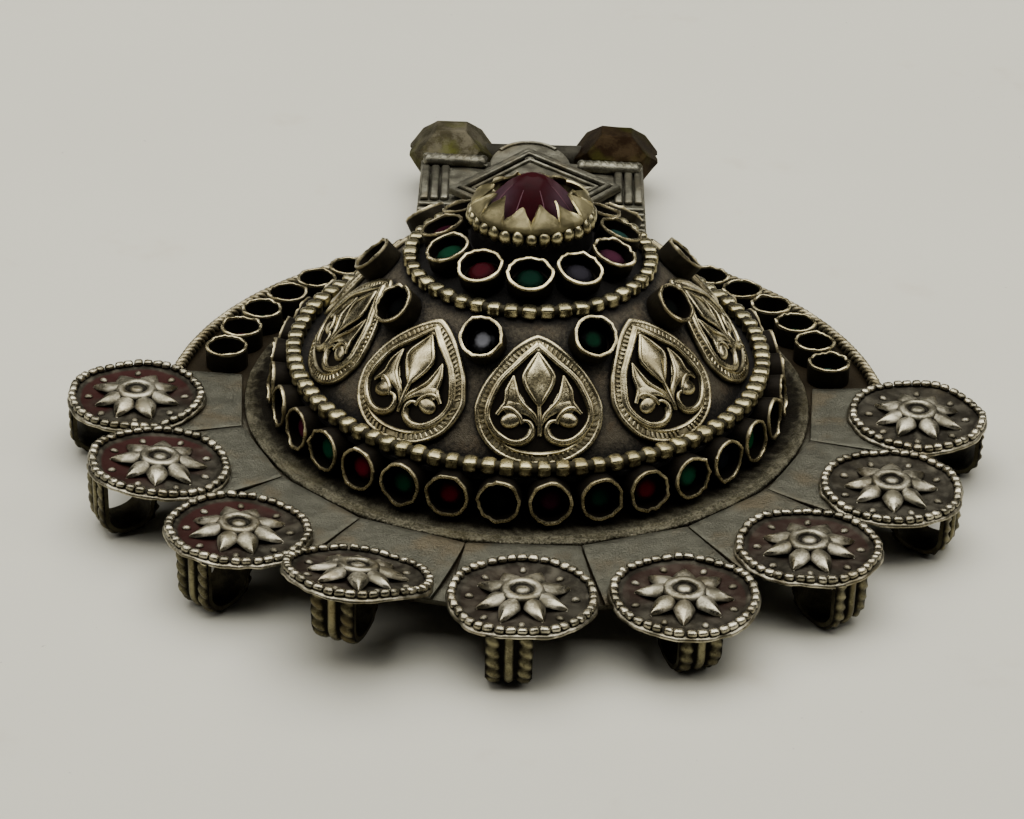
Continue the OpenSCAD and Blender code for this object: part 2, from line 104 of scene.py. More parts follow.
def select_faces(piece, test):
    """Enters edit mode with only the faces selected whose centre and normal pass the test."""
    active(piece)
    bpy.ops.object.mode_set(mode="EDIT")
    bpy.ops.mesh.select_mode(type="FACE")
    bpy.ops.mesh.select_all(action="DESELECT")
    bpy.ops.object.mode_set(mode="OBJECT")
    for face in piece.data.polygons:
        face.select = bool(test(face.center, face.normal))
    bpy.ops.object.mode_set(mode="EDIT")


def done_editing():
    bpy.ops.object.mode_set(mode="OBJECT")


def edit_all(piece):
    """Enters edit mode with the whole piece selected."""
    active(piece)
    bpy.ops.object.mode_set(mode="EDIT")
    bpy.ops.mesh.select_all(action="SELECT")


def primitive(add, name, **sizes):
    """A new primitive at the origin, alone selected."""
    deselect()
    add(location=(0, 0, 0), **sizes)
    return named(name)


def cube(name, matrix):
    """A cube with sides of 1, moved and stretched by a matrix."""
    piece = primitive(bpy.ops.mesh.primitive_cube_add, name, size=1)
    piece.data.transform(matrix)
    return piece


def grid(name, across, along):
    """A flat sheet from -1 to 1 both ways, with so many steps across and along."""
    return primitive(bpy.ops.mesh.primitive_grid_add, name, x_subdivisions=across, y_subdivisions=along, size=2)


def ball(name, radius, segments, rings):
    add = bpy.ops.mesh.primitive_uv_sphere_add
    return primitive(add, name, segments=segments, ring_count=rings, radius=radius)


def hoop(name, radius, thickness, segments, sides, height):
    """A torus round the z axis at a height."""
    piece = primitive(
        bpy.ops.mesh.primitive_torus_add, name,
        major_segments=segments, minor_segments=sides, major_radius=radius, minor_radius=thickness,
    )
    piece.data.transform(shift(0, 0, height))
    return piece


def extrude_by(x, y, z):
    bpy.ops.mesh.extrude_region_move(TRANSFORM_OT_translate={"value": (x, y, z)})


def inset(width, depth=0.0):
    bpy.ops.mesh.inset(thickness=width, depth=depth)


def bevelled(piece, width, segments=2, angle=30):
    active(piece)
    bevel = piece.modifiers.new("bevel", "BEVEL")
    bevel.width = width
    bevel.segments = segments
    bevel.limit_method = "ANGLE"
    bevel.angle_limit = math.radians(angle)
    bpy.ops.object.modifier_apply(modifier="bevel")
    return piece


def thickened(piece, thickness, offset=-1.0):
    active(piece)
    wall = piece.modifiers.new("wall", "SOLIDIFY")
    wall.thickness = thickness
    wall.offset = offset
    bpy.ops.object.modifier_apply(modifier="wall")
    return piece


def smooth(piece, angle=35):
    active(piece)
    bpy.ops.object.shade_smooth_by_angle(angle=math.radians(angle))
    return piece


def outwards(piece):
    """Merges what lies together and turns every face outwards."""
    edit_all(piece)
    bpy.ops.mesh.remove_doubles(threshold=0.0005)
    bpy.ops.mesh.normals_make_consistent(inside=False)
    done_editing()
    return piece


def flipped(piece):
    edit_all(piece)
    bpy.ops.mesh.flip_normals()
    done_editing()
    return piece


def facing_up(piece):
    """Turns an open sheet so that its faces look up."""
    if sum(face.normal.z * face.area for face in piece.data.polygons) < 0:
        flipped(piece)
    return piece


def copied(piece, matrix, name="part"):
    """A copy with a mesh of its own, its place put into the mesh."""
    twin = piece.copy()
    twin.data = piece.data.copy()
    twin.name = name
    bpy.context.scene.collection.objects.link(twin)
    twin.data.transform(matrix)
    return twin


def joined(parts, name):
    deselect()
    for part in parts:
        part.select_set(True)
    bpy.context.view_layer.objects.active = parts[0]
    if len(parts) > 1:
        bpy.ops.object.join()
    return named(name)


def dropped(*pieces):
    for piece in pieces:
        bpy.data.objects.remove(piece)


def reshaped(piece, move):
    """Moves every vertex to where the function says."""
    for point in piece.data.vertices:
        point.co = move(point.co)
    piece.data.update()
    return piece


def limited(value, low=0.0, high=1.0):
    return max(low, min(high, value))


def written(piece, name, value):
    """Keeps a number for each vertex under a name that a material reads."""
    numbers = [float(value(v.co)) if callable(value) else float(value) for v in piece.data.vertices]
    layer = piece.data.attributes.get(name) or piece.data.attributes.new(name, "FLOAT", "POINT")
    layer.data.foreach_set("value", numbers)
    return piece


def tinted(piece, colour):
    """Keeps a colour for each vertex for the stones' material."""
    layer = piece.data.attributes.get("tint") or piece.data.attributes.new("tint", "FLOAT_COLOR", "POINT")
    colours = [colour(v.co) if callable(colour) else colour for v in piece.data.vertices]
    layer.data.foreach_set("color", [part for one in colours for part in (*one, 1.0)])
    return piece


def lathe(name, profile, steps):
    """Spins a line of (radius, height) points once round the z axis."""
    piece = primitive(bpy.ops.mesh.primitive_plane_add, name, size=1)
    bpy.ops.object.mode_set(mode="EDIT")
    bpy.ops.mesh.select_mode(type="VERT")
    bpy.ops.mesh.select_all(action="SELECT")
    bpy.ops.mesh.merge(type="CENTER")
    radius, height = profile[0]
    bpy.ops.transform.translate(value=(0, -radius, height))
    for (r0, z0), (r1, z1) in zip(profile, profile[1:]):
        extrude_by(0, r0 - r1, z1 - z0)
    bpy.ops.mesh.select_all(action="SELECT")
    bpy.ops.mesh.spin(steps=steps, angle=math.tau, center=(0, 0, 0), axis=(0, 0, 1))
    done_editing()
    return outwards(piece)


def swept(name, lines, thickness, sides=2, closed=False):
    """Round wires along lines of points; each point may carry its own thickness as a fourth number."""
    deselect()
    bpy.ops.curve.primitive_bezier_curve_add(location=(0, 0, 0))
    wire = bpy.context.object
    wire.name = name
    shape = wire.data
    shape.splines.clear()
    shape.dimensions = "3D"
    shape.bevel_depth = thickness
    shape.bevel_resolution = sides
    shape.use_fill_caps = True
    for line in lines:
        spline = shape.splines.new("POLY")
        spline.points.add(len(line) - 1)
        for point, place in zip(spline.points, line):
            point.co = (*place[:3], 1)
            point.radius = place[3] if len(place) > 3 else 1.0
        spline.use_cyclic_u = closed
    active(wire)
    bpy.ops.object.convert(target="MESH")
    return named(name)


def finished(piece, name, finish, slot, *stands_for):
    """Puts a piece into the row frame, gives it its finish and lets it ride."""
    piece.name = name
    piece.data.name = name
    piece.data.transform(TO_ROW)
    piece.data.materials.clear()
    piece.data.materials.append(finish)
    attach(piece, "root")
    if stands_for:
        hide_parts(*stands_for)
    return piece


# Materials


class Sum:
    """A socket that takes arithmetic: each operator adds a Math node."""

    def __init__(self, paint, socket):
        self.paint = paint
        self.socket = socket

    def math(self, operation, *values):
        return self.paint.node("ShaderNodeMath", {"operation": operation}, dict(enumerate(values)))

    def __add__(self, other):
        return self.math("ADD", self, other)

    def __sub__(self, other):
        return self.math("SUBTRACT", self, other)

    def __mul__(self, other):
        return self.math("MULTIPLY", self, other)

    def __rsub__(self, other):
        return self.math("SUBTRACT", other, self)

    __radd__ = __add__
    __rmul__ = __mul__

    def clamp(self):
        return self.math("MINIMUM", self.math("MAXIMUM", self, 0.0), 1.0)

    def between(self, low, high):
        """0 below low, 1 above high and a soft step from one to the other."""
        ends = {"Value": self, "From Min": low, "From Max": high}
        return self.paint.node("ShaderNodeMapRange", {"interpolation_type": "SMOOTHSTEP"}, ends)


class Paint:
    """One material and its nodes."""

    def __init__(self, name):
        self.material = bpy.data.materials.new(name)
        self.material.use_nodes = True
        self.nodes = self.material.node_tree.nodes
        self.links = self.material.node_tree.links
        self.shader = self.nodes["Principled BSDF"]

    def feed(self, socket, value):
        if isinstance(value, Sum):
            self.links.new(value.socket, socket)
        else:
            socket.default_value = value

    def node(self, kind, settings=None, inputs=None, output=0):
        made = self.nodes.new(kind)
        for key, value in (settings or {}).items():
            setattr(made, key, value)
        for key, value in (inputs or {}).items():
            self.feed(made.inputs[key], value)
        return Sum(self, made.outputs[output])

    def place(self):
        """Object coordinates in millimetres."""
        coordinates = self.node("ShaderNodeTexCoord", output="Object")
        return self.node("ShaderNodeVectorMath", {"operation": "SCALE"}, {0: coordinates, "Scale": 1 / MM})

    def grain(self, scale, detail=3.0, roughness=0.55):
        """Noise round 0.5; the scale counts its cells in a millimetre."""
        sizes = {"Vector": self.place(), "Scale": scale, "Detail": detail, "Roughness": roughness}
        return self.node("ShaderNodeTexNoise", None, sizes)

    def mix(self, factor, one, two):
        made = self.nodes.new("ShaderNodeMix")
        made.data_type = "RGBA"
        self.feed(made.inputs["Factor"], factor)
        for socket, value in zip((made.inputs[6], made.inputs[7]), (one, two)):
            self.feed(socket, value if isinstance(value, Sum) else (*value, 1))
        return Sum(self, made.outputs[2])

    def stored(self, name):
        return self.node("ShaderNodeAttribute", {"attribute_name": name}, output="Fac")

    def hollow(self, reach):
        """Near 0 in corners and recesses, 1 in the open, measured over a reach in millimetres."""
        return self.node("ShaderNodeAmbientOcclusion", {"samples": 8}, {"Distance": reach * MM}, output="AO")

    def put(self, **sockets):
        for key, value in sockets.items():
            self.feed(self.shader.inputs[key.replace("_", " ")], value)
        return self.material

    def bump(self, height, strength, distance):
        sizes = {"Height": height, "Strength": strength, "Distance": distance * MM}
        return self.node("ShaderNodeBump", None, sizes, output="Normal")


def old_metal(name, bright, dull, recess, reach=0.9, low=0.35, high=0.8, shine=0.3, pits=0.35, warm=0.25,
              patch=(0.20, 0.145, 0.06), grit=0.12, speck=0.26, mottle=0.35, stained=False):
    """Worn white metal: bright on what stands proud, dull elsewhere and nearly black in recesses, from oxide and from
    the painted shade that its stored mask holds.

    reach, low and high say what counts as a recess, shine is the roughness where it is bright, pits and grit
    the strength and depth of its pits, warm and patch the share and colour of its yellow patches, speck and
    mottle how much small and large marks break up its edges. A stained one also reads its stain.
    """
    paint = Paint(name)
    open_air = paint.hollow(reach)
    patches = paint.grain(0.55, 4)
    specks = paint.grain(5.0, 3)
    fine = paint.grain(16.0, 2)
    proud = (open_air + (patches - 0.5) * mottle + (specks - 0.5) * speck).between(low, high)
    # The stored mask holds oxide and painted shade; both darken the metal towards the recess colour.
    proud = proud * (1 - paint.stored("oxide_and_shade") * 0.995)
    rub = (patches * (1 - speck) + specks * speck).between(0.42, 0.6)
    face = paint.mix(rub, dull, bright)
    yellow = (paint.grain(0.22, 3).between(0.48, 0.7) * warm).clamp()
    face = paint.mix(yellow, face, patch)
    colour = paint.mix(proud, recess, face)
    if stained:
        colour = paint.mix(paint.stored("stain"), colour, (0.030, 0.008, 0.007))
    height = patches * 0.5 + specks * 0.35 + fine * 0.15
    return paint.put(
        Base_Color=colour,
        Metallic=proud * 0.35 + 0.65,
        Roughness=((1 - proud) * 0.35 + shine + (specks - 0.5) * 0.25).clamp(),
        Specular_IOR_Level=0.1,
        Normal=paint.bump(height, pits, grit),
    )


def granular_metal(name):
    """The dome's oxidised ground: dark brown with a granular skin, made almost black by painted shade in its hollows
    and where its stored mask paints shade.
    """
    paint = Paint(name)
    open_air = paint.hollow(2.2)
    coarse = paint.grain(2.6, 4, 0.7)
    fine = paint.grain(8.0, 3, 0.6)
    # Painted shade: the ground counts as lit only in the open and where the stored mask leaves it.
    lit = (open_air + (coarse - 0.5) * 0.8).between(0.55, 1.1) * (1 - paint.stored("oxide_and_shade") * 0.98)
    colour = paint.mix(lit, (0.006, 0.005, 0.004), (0.115, 0.098, 0.068))
    rusty = (paint.grain(0.5, 3).between(0.5, 0.7) * lit).clamp()
    colour = paint.mix(rusty * 0.4, colour, (0.12, 0.075, 0.038))
    return paint.put(
        Base_Color=colour,
        Metallic=lit * 0.5 + 0.2,
        Roughness=0.75 - lit * 0.25,
        Specular_IOR_Level=0.2,
        Normal=paint.bump(coarse * 0.6 + fine * 0.4, 0.9, 0.25),
    )


def stone_glass(name, gloss=0.008, rough=0.1):
    """Deep coloured glass: nearly black with a glow of its colour and a polished skin."""
    paint = Paint(name)
    tint = paint.node("ShaderNodeAttribute", {"attribute_name": "tint"}, output="Color")
    clouds = paint.grain(0.9, 3)
    glow = (paint.stored("core") + (clouds - 0.5) * 0.45).clamp()
    colour = paint.mix(glow, (0.0015, 0.0015, 0.0015), tint)
    return paint.put(
        Base_Color=colour,
        Roughness=rough + paint.grain(3.0, 2) * 0.2,
        Specular_IOR_Level=gloss,
    )


def pale_floor(name, colour):
    """Matt pale board with faint brown marks and a few dark specks."""
    paint = Paint(name)
    mottle = paint.grain(0.02, 3).between(0.3, 0.7)
    shade = paint.mix(mottle, tuple(0.97 * c for c in colour), colour)
    marks = paint.grain(0.05, 4, 0.65).between(0.6, 0.74)
    shade = paint.mix(marks * 0.3, shade, (0.74 * colour[0], 0.66 * colour[1], 0.57 * colour[2]))
    specks = paint.grain(0.9, 2).between(0.76, 0.8)
    shade = paint.mix(specks * 0.5, shade, (0.2, 0.17, 0.14))
    return paint.put(Base_Color=shade, Roughness=0.85, Normal=paint.bump(paint.grain(1.2, 3), 0.1, 0.2))


# Places round the dome, in millimetres and degrees, the same as in the part's source

# How many of each kind, and for hearts and strips the degrees from one to the next
DRUM_COLLETS, TIER_COLLETS, REAR_COLLETS = 33, 11, 7
HEARTS, HEART_TURN, HEART_STEP = 9, 3.5, 40
STRIPS, STRIP_STEP = 9, 21.2
# The plate's centre lies this far along y from the dome's axis
PLATE_Y = -1.9
# Radius of the flange, a strip's length past it, and the rings on which the discs and the loops stand
FLANGE_R, STRIP_L, DISC_RING, LOOP_RING = 30, 10.4, 41, 45.5
# Radius and height of the slope's two ends, and how far it bulges past a straight cone
SLOPE_FOOT = Vector((22.8, 4.45))
SLOPE_TOP = Vector((12.9, 15.5))
SLOPE_BULGE = 0.7
CHORD = (SLOPE_TOP - SLOPE_FOOT).length
ARC_R = ((CHORD / 2) ** 2 + SLOPE_BULGE**2) / (2 * SLOPE_BULGE)
ARC_HALF = math.asin(CHORD / 2 / ARC_R)
ARC_MID = math.pi / 2 - math.atan2(SLOPE_TOP.y - SLOPE_FOOT.y, SLOPE_FOOT.x - SLOPE_TOP.x)
ARC_CENTRE = (SLOPE_FOOT + SLOPE_TOP) / 2 - (ARC_R - SLOPE_BULGE) * Vector((math.cos(ARC_MID), math.sin(ARC_MID)))
SLOPE_LENGTH = ARC_R * 2 * ARC_HALF


def arc_at(way):
    """Angle on the slope's arc, a way up from its foot."""
    return ARC_MID - ARC_HALF + 2 * ARC_HALF * way / SLOPE_LENGTH


def slope_point(way, off=0.0):
    """Radius and height of a point that stands off the slope, a way up from its foot."""
    angle = arc_at(way)
    return ARC_CENTRE + (ARC_R + off) * Vector((math.cos(angle), math.sin(angle)))


def on_slope(place):
    """Bends a flat drawing (across, up, off) onto the slope's front."""
    across, up, off = place
    base = slope_point(up).x
    radius, height = slope_point(up, off)
    angle = across / base
    return Vector((radius * math.sin(angle), -radius * math.cos(angle), height))


def drum_seat(i):
    return turn((i + 0.5) * 360 / DRUM_COLLETS) @ shift(0, -27.1, 2.68) @ lean(82) @ shift(0, 0, -3)


def tier_seat(i):
    return turn(i * 360 / TIER_COLLETS) @ shift(0, -8.75, 17.25) @ lean(20)


def slope_seat(i):
    """Place between two hearts, near the slope's top."""
    way = 11.9
    radius, height = slope_point(way)
    return turn(HEART_TURN + (i + 0.5) * HEART_STEP) @ shift(0, -radius, height) @ lean(90 - math.degrees(arc_at(way)))


def rear_seat(i, side):
    return turn(side * (100.2 + 8.3 * i)) @ shift(0, -32.8, -0.6)


# Where the noise is read for x, y and z. Blender's own noise_vector starts from the clock, so it isn't used.
NOISE_STARTS = (Vector((9.32, -1.53, -7.95)), Vector((0.71, 5.13, 3.44)), Vector((-3.77, 2.26, 8.61)))


def wobble(place, scale, amount, seed=0.0):
    """A smooth small shift that depends on the place alone."""
    spot = Vector(place) * scale + Vector((seed, seed * 1.7, seed * 0.3))
    return Vector([noise.noise(spot + start) for start in NOISE_STARTS]) * amount


# Sizes and colours that a user may change


class PendantSizes(bpy.types.PropertyGroup):
    lower_blocks: IntProperty(name="Lower wire blocks", description="Blocks round the drum's wire", default=85, min=60)
    upper_blocks: IntProperty(name="Upper wire blocks", description="Blocks round the tier's wire", default=44, min=30)
    centre_beads: IntProperty(name="Centre beads", description="Beads round the centre setting", default=29, min=20)
    rim_wear: FloatProperty(
        name="Rim wear", description="Unevenness of the hand-made rims, in millimetres", default=0.17, min=0, max=0.3
    )
    dent: FloatProperty(
        name="Dents", description="Depth of the sheet's dents, in millimetres", default=0.12, min=0, max=0.4
    )
    disc_warp: FloatProperty(
        name="Disc warp", description="How far the flower discs are bent, in millimetres", default=0.35, min=0, max=0.6
    )


class PendantColours(bpy.types.PropertyGroup):
    bright: FloatVectorProperty(
        name="Bright metal", description="Metal where it is rubbed",
        subtype="COLOR", default=(0.60, 0.53, 0.34), min=0, max=1,
    )
    dull: FloatVectorProperty(
        name="Dull metal", description="Metal where it is left alone",
        subtype="COLOR", default=(0.20, 0.17, 0.10), min=0, max=1,
    )
    sheet: FloatVectorProperty(
        name="Sheet metal", description="Smooth grey sheet of the strips",
        subtype="COLOR", default=(0.106, 0.103, 0.078), min=0, max=1,
    )
    # The recess colour also serves as the painted shade that the stored mask lays on undersides and other shaded
    # places.
    recess: FloatVectorProperty(
        name="Recess", description="Oxide in corners and hollows",
        subtype="COLOR", default=(0.006, 0.0045, 0.003), min=0, max=1,
    )
    floor: FloatVectorProperty(
        name="Floor", description="Pale floor", subtype="COLOR", default=(0.59, 0.574, 0.485), min=0, max=1
    )


FINISHES = {}


def finish_of(name):
    """Each finish is made once, when the first piece needs it."""
    colours = bpy.context.scene.pendant_colours
    bright, dull, sheet, recess = (tuple(c) for c in (colours.bright, colours.dull, colours.sheet, colours.recess))
    # Bright colour, dull colour, recess colour and what differs from the usual old metal
    metals = {
        "bright_metal": (bright, dull, recess, {}),
        "sheet_metal": (
            sheet, tuple(0.7 * c for c in sheet), (0.02, 0.014, 0.007),
            dict(reach=1.8, low=0.25, high=0.75, shine=0.45, pits=0.8, warm=0.45, patch=(0.12, 0.088, 0.046),
                 grit=0.3, speck=0.45),
        ),
        "flange_metal": (
            (0.26, 0.24, 0.165), (0.085, 0.078, 0.05), recess,
            dict(reach=1.0, high=0.85, shine=0.45, pits=1.0, warm=0.4, patch=(0.13, 0.11, 0.055), grit=0.8, speck=0.6),
        ),
        "wire_metal": (
            (0.46, 0.41, 0.235), (0.26, 0.23, 0.13), recess, dict(low=0.3, pits=0.4, speck=0.1, mottle=0.15),
        ),
        "rim_metal": (
            (0.70, 0.61, 0.37), (0.34, 0.29, 0.165), recess, dict(reach=0.6, low=0.15, high=0.5, shine=0.28, pits=0.6),
        ),
        "gilt_metal": (
            (0.78, 0.68, 0.36), (0.38, 0.33, 0.17), recess,
            dict(reach=0.35, low=0.1, high=0.45, pits=0.7, speck=0.1, mottle=0.15),
        ),
        "cast_metal": (
            (0.58, 0.51, 0.315), (0.245, 0.21, 0.122), recess,
            dict(reach=1.0, low=0.3, high=0.78, shine=0.27, speck=0.18, mottle=0.2),
        ),
        "disc_metal": (
            (0.50, 0.46, 0.345), (0.16, 0.145, 0.10), recess, dict(reach=1.0, low=0.4, high=0.85, stained=True),
        ),
        "loop_metal": (
            (0.21, 0.19, 0.11), (0.08, 0.07, 0.04), recess, dict(reach=1.0, low=0.45, high=0.9, shine=0.42, pits=0.8),
        ),
        "grey_sheet": (
            (0.22, 0.21, 0.16), (0.11, 0.104, 0.078), recess, dict(reach=1.1, low=0.2, high=0.75, shine=0.45, pits=0.6),
        ),
        "olive_metal": (
            (0.118, 0.105, 0.07), (0.045, 0.039, 0.022), (0.03, 0.03, 0.008),
            dict(reach=2.0, shine=0.68, pits=0.8, warm=0.8, patch=(0.10, 0.105, 0.02)),
        ),
        "brown_metal": (
            (0.036, 0.024, 0.012), (0.014, 0.008, 0.004), (0.03, 0.032, 0.007),
            dict(reach=2.0, shine=0.68, pits=0.8, warm=0.5, patch=(0.045, 0.047, 0.008)),
        ),
    }
    others = {
        "dark_ground": lambda: granular_metal("dark_ground"),
        "stone_glass": lambda: stone_glass("stone_glass"),
        "worn_glass": lambda: stone_glass("worn_glass", 0.05, 0.3),
    }
    if name not in FINISHES:
        if name in metals:
            *three, differs = metals[name]
            FINISHES[name] = old_metal(name, *three, **differs)
        else:
            FINISHES[name] = others[name]()
    return FINISHES[name]


# The stones' colours by a letter, and the letters of each family in the order of its seats
TINTS = {
    "g": (0.006, 0.085, 0.036),
    "G": (0.020, 0.150, 0.070),
    "r": (0.180, 0.010, 0.025),
    "m": (0.090, 0.015, 0.035),
    "k": (0.010, 0.012, 0.012),
    "s": (0.090, 0.085, 0.120),
    "p": (0.260, 0.060, 0.110),
    "t": (0.050, 0.150, 0.130),
    "c": (0.620, 0.620, 0.740),
    "b": (0.110, 0.045, 0.030),
}
DRUM_TINTS = "mgrGkgkgrgrGrgmgrrgrgrGrgmGmgrgrk"
TIER_TINTS = "gsptkgrkmGr"
SLOPE_TINTS = "gkgskmGkc"
REAR_TINTS = {1: "tkgbGks", -1: "kmgmkGs"}


# Pieces


class PENDANT_OT_plate(bpy.types.Operator):
    """Back plate with its milled flange and the rope border on its rear edge"""

    bl_idname = "pendant.plate"
    bl_label = "Back plate"

    def execute(self, context):
        dent = context.scene.pendant_sizes.dent
        sheet = lathe("sheet", [
            (0, -1.5), (20, -1.5), (38.0, -1.5), (38.3, -1.3), (38.3, -0.75), (38.0, -0.6), (34, -0.6), (29.9, -0.6),
            (0, -0.6),
        ], 180)
        reshaped(sheet, lambda p: p + Vector((0, PLATE_Y, 0)))
        reshaped(sheet, lambda p: p + Vector((0, 0, wobble(p, 0.12, dent).z if p.length > 34 else 0)))
        # Painted shade on the sheet's underside; its top darker towards the back.
        written(sheet, "oxide_and_shade", lambda p: 0.75 if p.z < -1.2 else limited(0.5 + p.y * 0.12, 0.15, 0.93))
        finished(smooth(sheet, 40), "plate_sheet", finish_of("sheet_metal"), "dark_metal", "back_plate")
        flange = lathe("flange", [
            (24.32, -0.7), (29.72, -0.7), (29.78, -0.25), (29.62, -0.02), (29.4, 0.05), (29.2, -0.06), (29.05, -0.06),
            (28.85, 0.08), (28.6, 0.02), (28.35, -0.14), (27.9, -0.15), (27.3, -0.15), (26.6, -0.15), (26, -0.15),
            (24.32, -0.15), (24.32, -0.7),
        ], 420)

        def grit(p):
            return Vector((0, 0, wobble(p, 2.6, 0.1).z if p.z > -0.2 else 0))

        # Painted shade near the drum's foot, broken up by noise, and darker towards the back.
        def oxide_and_shade(p):
            near_drum = 1.0 - (p.xy.length - 27.0) / 2.1
            return limited(near_drum + wobble(p, 1.5, 0.5).x + limited(0.7 + p.y * 0.04, 0.0, 0.7), 0.0, 0.95)

        reshaped(flange, lambda p: p + wobble(p, 0.8, 0.05) + grit(p))
        written(flange, "oxide_and_shade", oxide_and_shade)
        finished(smooth(flange, 50), "plate_flange", finish_of("flange_metal"), "dark_metal")
        self.rope_border()
        return {"FINISHED"}

    def rope_border(self):
        """Two strands twisted round each other on each side, on a plain wire; both end beside the neck."""
        neck_side = 14.0

        def on_plate(radius, angle, z):
            return Vector((radius * math.sin(angle), -radius * math.cos(angle) + PLATE_Y, z))

        strands = []
        for start in (0.0, math.pi):
            for side in (-1, 1):
                line = []
                for step in range(261):
                    twist = start + step * 0.62
                    angle = math.radians(side * (97 + step * 0.25))
                    spot = on_plate(37.65 + 0.3 * math.cos(twist), angle, -0.02 + 0.3 * math.sin(twist))
                    if abs(spot.x) > neck_side and spot.y > 3.2:
                        line.append(tuple(spot))
                strands.append(line)
        rope = swept("rope", strands, 0.33)
        feet = []
        for side in (-1, 1):
            line = [on_plate(37.6, math.radians(side * degrees), -0.5) for degrees in range(98, 161, 2)]
            feet.append([tuple(spot) for spot in line if abs(spot.x) > neck_side])
        border = joined([rope, swept("rope_foot", feet, 0.4)], "border")
        written(border, "oxide_and_shade", 0.35)
        finished(smooth(border, 60), "plate_rope_border", finish_of("bright_metal"), "worn_metal")


class PENDANT_OT_dome(bpy.types.Operator):
    """Dome: drum wall, ledge, slope, top tier and boss"""

    bl_idname = "pendant.dome"
    bl_label = "Dome"

    def execute(self, context):
        dent = context.scene.pendant_sizes.dent
        drum = [(24.2, -0.5), (24.2, 1.5), (24.2, 3.6), (25.0, 3.85), (25.0, 4.3), (24.8, 4.45), (23.6, 4.45)]
        slope = [tuple(slope_point(SLOPE_LENGTH * k / 14)) for k in range(15)]
        tier = [(12.1, 15.5), (11.3, 15.5), (9.6, 16.4), (7.9, 17.2)]
        boss = [(6.2, 18.1), (6.2, 19.2), (6.2, 20.4), (6.0, 20.5), (0, 20.5)]
        shell = lathe("shell", drum + slope + tier + boss, 160)
        reshaped(shell, lambda p: p + wobble(p, 0.35, dent))
        thickened(shell, 0.7)
        smooth(shell, 40)
        # The drum wall, the tier and the boss are near black: painted shade among the collets; the slope is left
        # lighter.
        written(shell, "oxide_and_shade", lambda p: 1.0 if p.z < 4.4 or p.z > 15.3 else 0.15)
        finished(shell, "dome_shell", finish_of("dark_ground"), "dark_metal", "dome")
        return {"FINISHED"}


def collet(width, height, depth, wear, seed, dark):
    """A tube with a thin uneven rim, standing on z = 0; its outside is dark up to just below the rim."""
    rim = 0.32
    add = bpy.ops.mesh.primitive_cylinder_add
    tube = primitive(add, "tube", vertices=32, radius=width / 2, depth=height - rim)
    tube.data.transform(shift(0, 0, (height - rim) / 2))
    select_faces(tube, lambda c, n: n.z > 0.9)
    extrude_by(0, 0, rim)
    inset(0.31)
    extrude_by(0, 0, -0.3)
    extrude_by(0, 0, 0.3 - depth)
    done_editing()
    rng = random.Random(seed)
    start = rng.random() * 50

    def worn(p):
        if p.z < height - 0.5 or p.xy.length < 0.1:
            return p
        out = Vector((p.x, p.y, 0)).normalized()
        ripple = noise.noise(Vector((out.x * 1.6 + start, out.y * 1.6, 0.3)))
        fine = noise.noise(Vector((out.x * 5 + start, out.y * 5, 2.3)))
        push = ripple * 0.7 + fine * 0.9
        return p + out * push * wear + Vector((0, 0, (ripple + fine * 0.8) * wear * (p.z > height - 0.1)))

    reshaped(tube, worn)
    bevelled(tube, 0.07, 2, 50)

    # Painted shade inside the tube below its rim; outside, darkened up to just below the rim.
    def oxide_and_shade(p):
        if p.xy.length > width / 2 - 0.17:
            return limited((height - 0.08 - p.z) * 5, 0.0, dark)
        return limited((height - 0.1 - p.z) * 6)

    return written(tube, "oxide_and_shade", oxide_and_shade)


def cut_stone(width, height, core, sides=10):
    """A stone with a table, crown facets and a girdle, standing on z = 0."""
    add = bpy.ops.mesh.primitive_cone_add
    stone = primitive(add, "stone", vertices=sides, radius1=width / 2, radius2=width * 0.36, depth=height * 0.8)
    stone.data.transform(shift(0, 0, height * 0.4))
    select_faces(stone, lambda c, n: n.z > 0.9)
    inset(width * 0.1, height * 0.2)
    bpy.ops.transform.rotate(value=math.pi / sides, orient_axis="Z", center_override=(0, 0, 0))
    inset(width * 0.11)
    done_editing()
    return written(stone, "core", lambda p: max(0.0, 1 - p.xy.length / (width * core)) * 1.2)


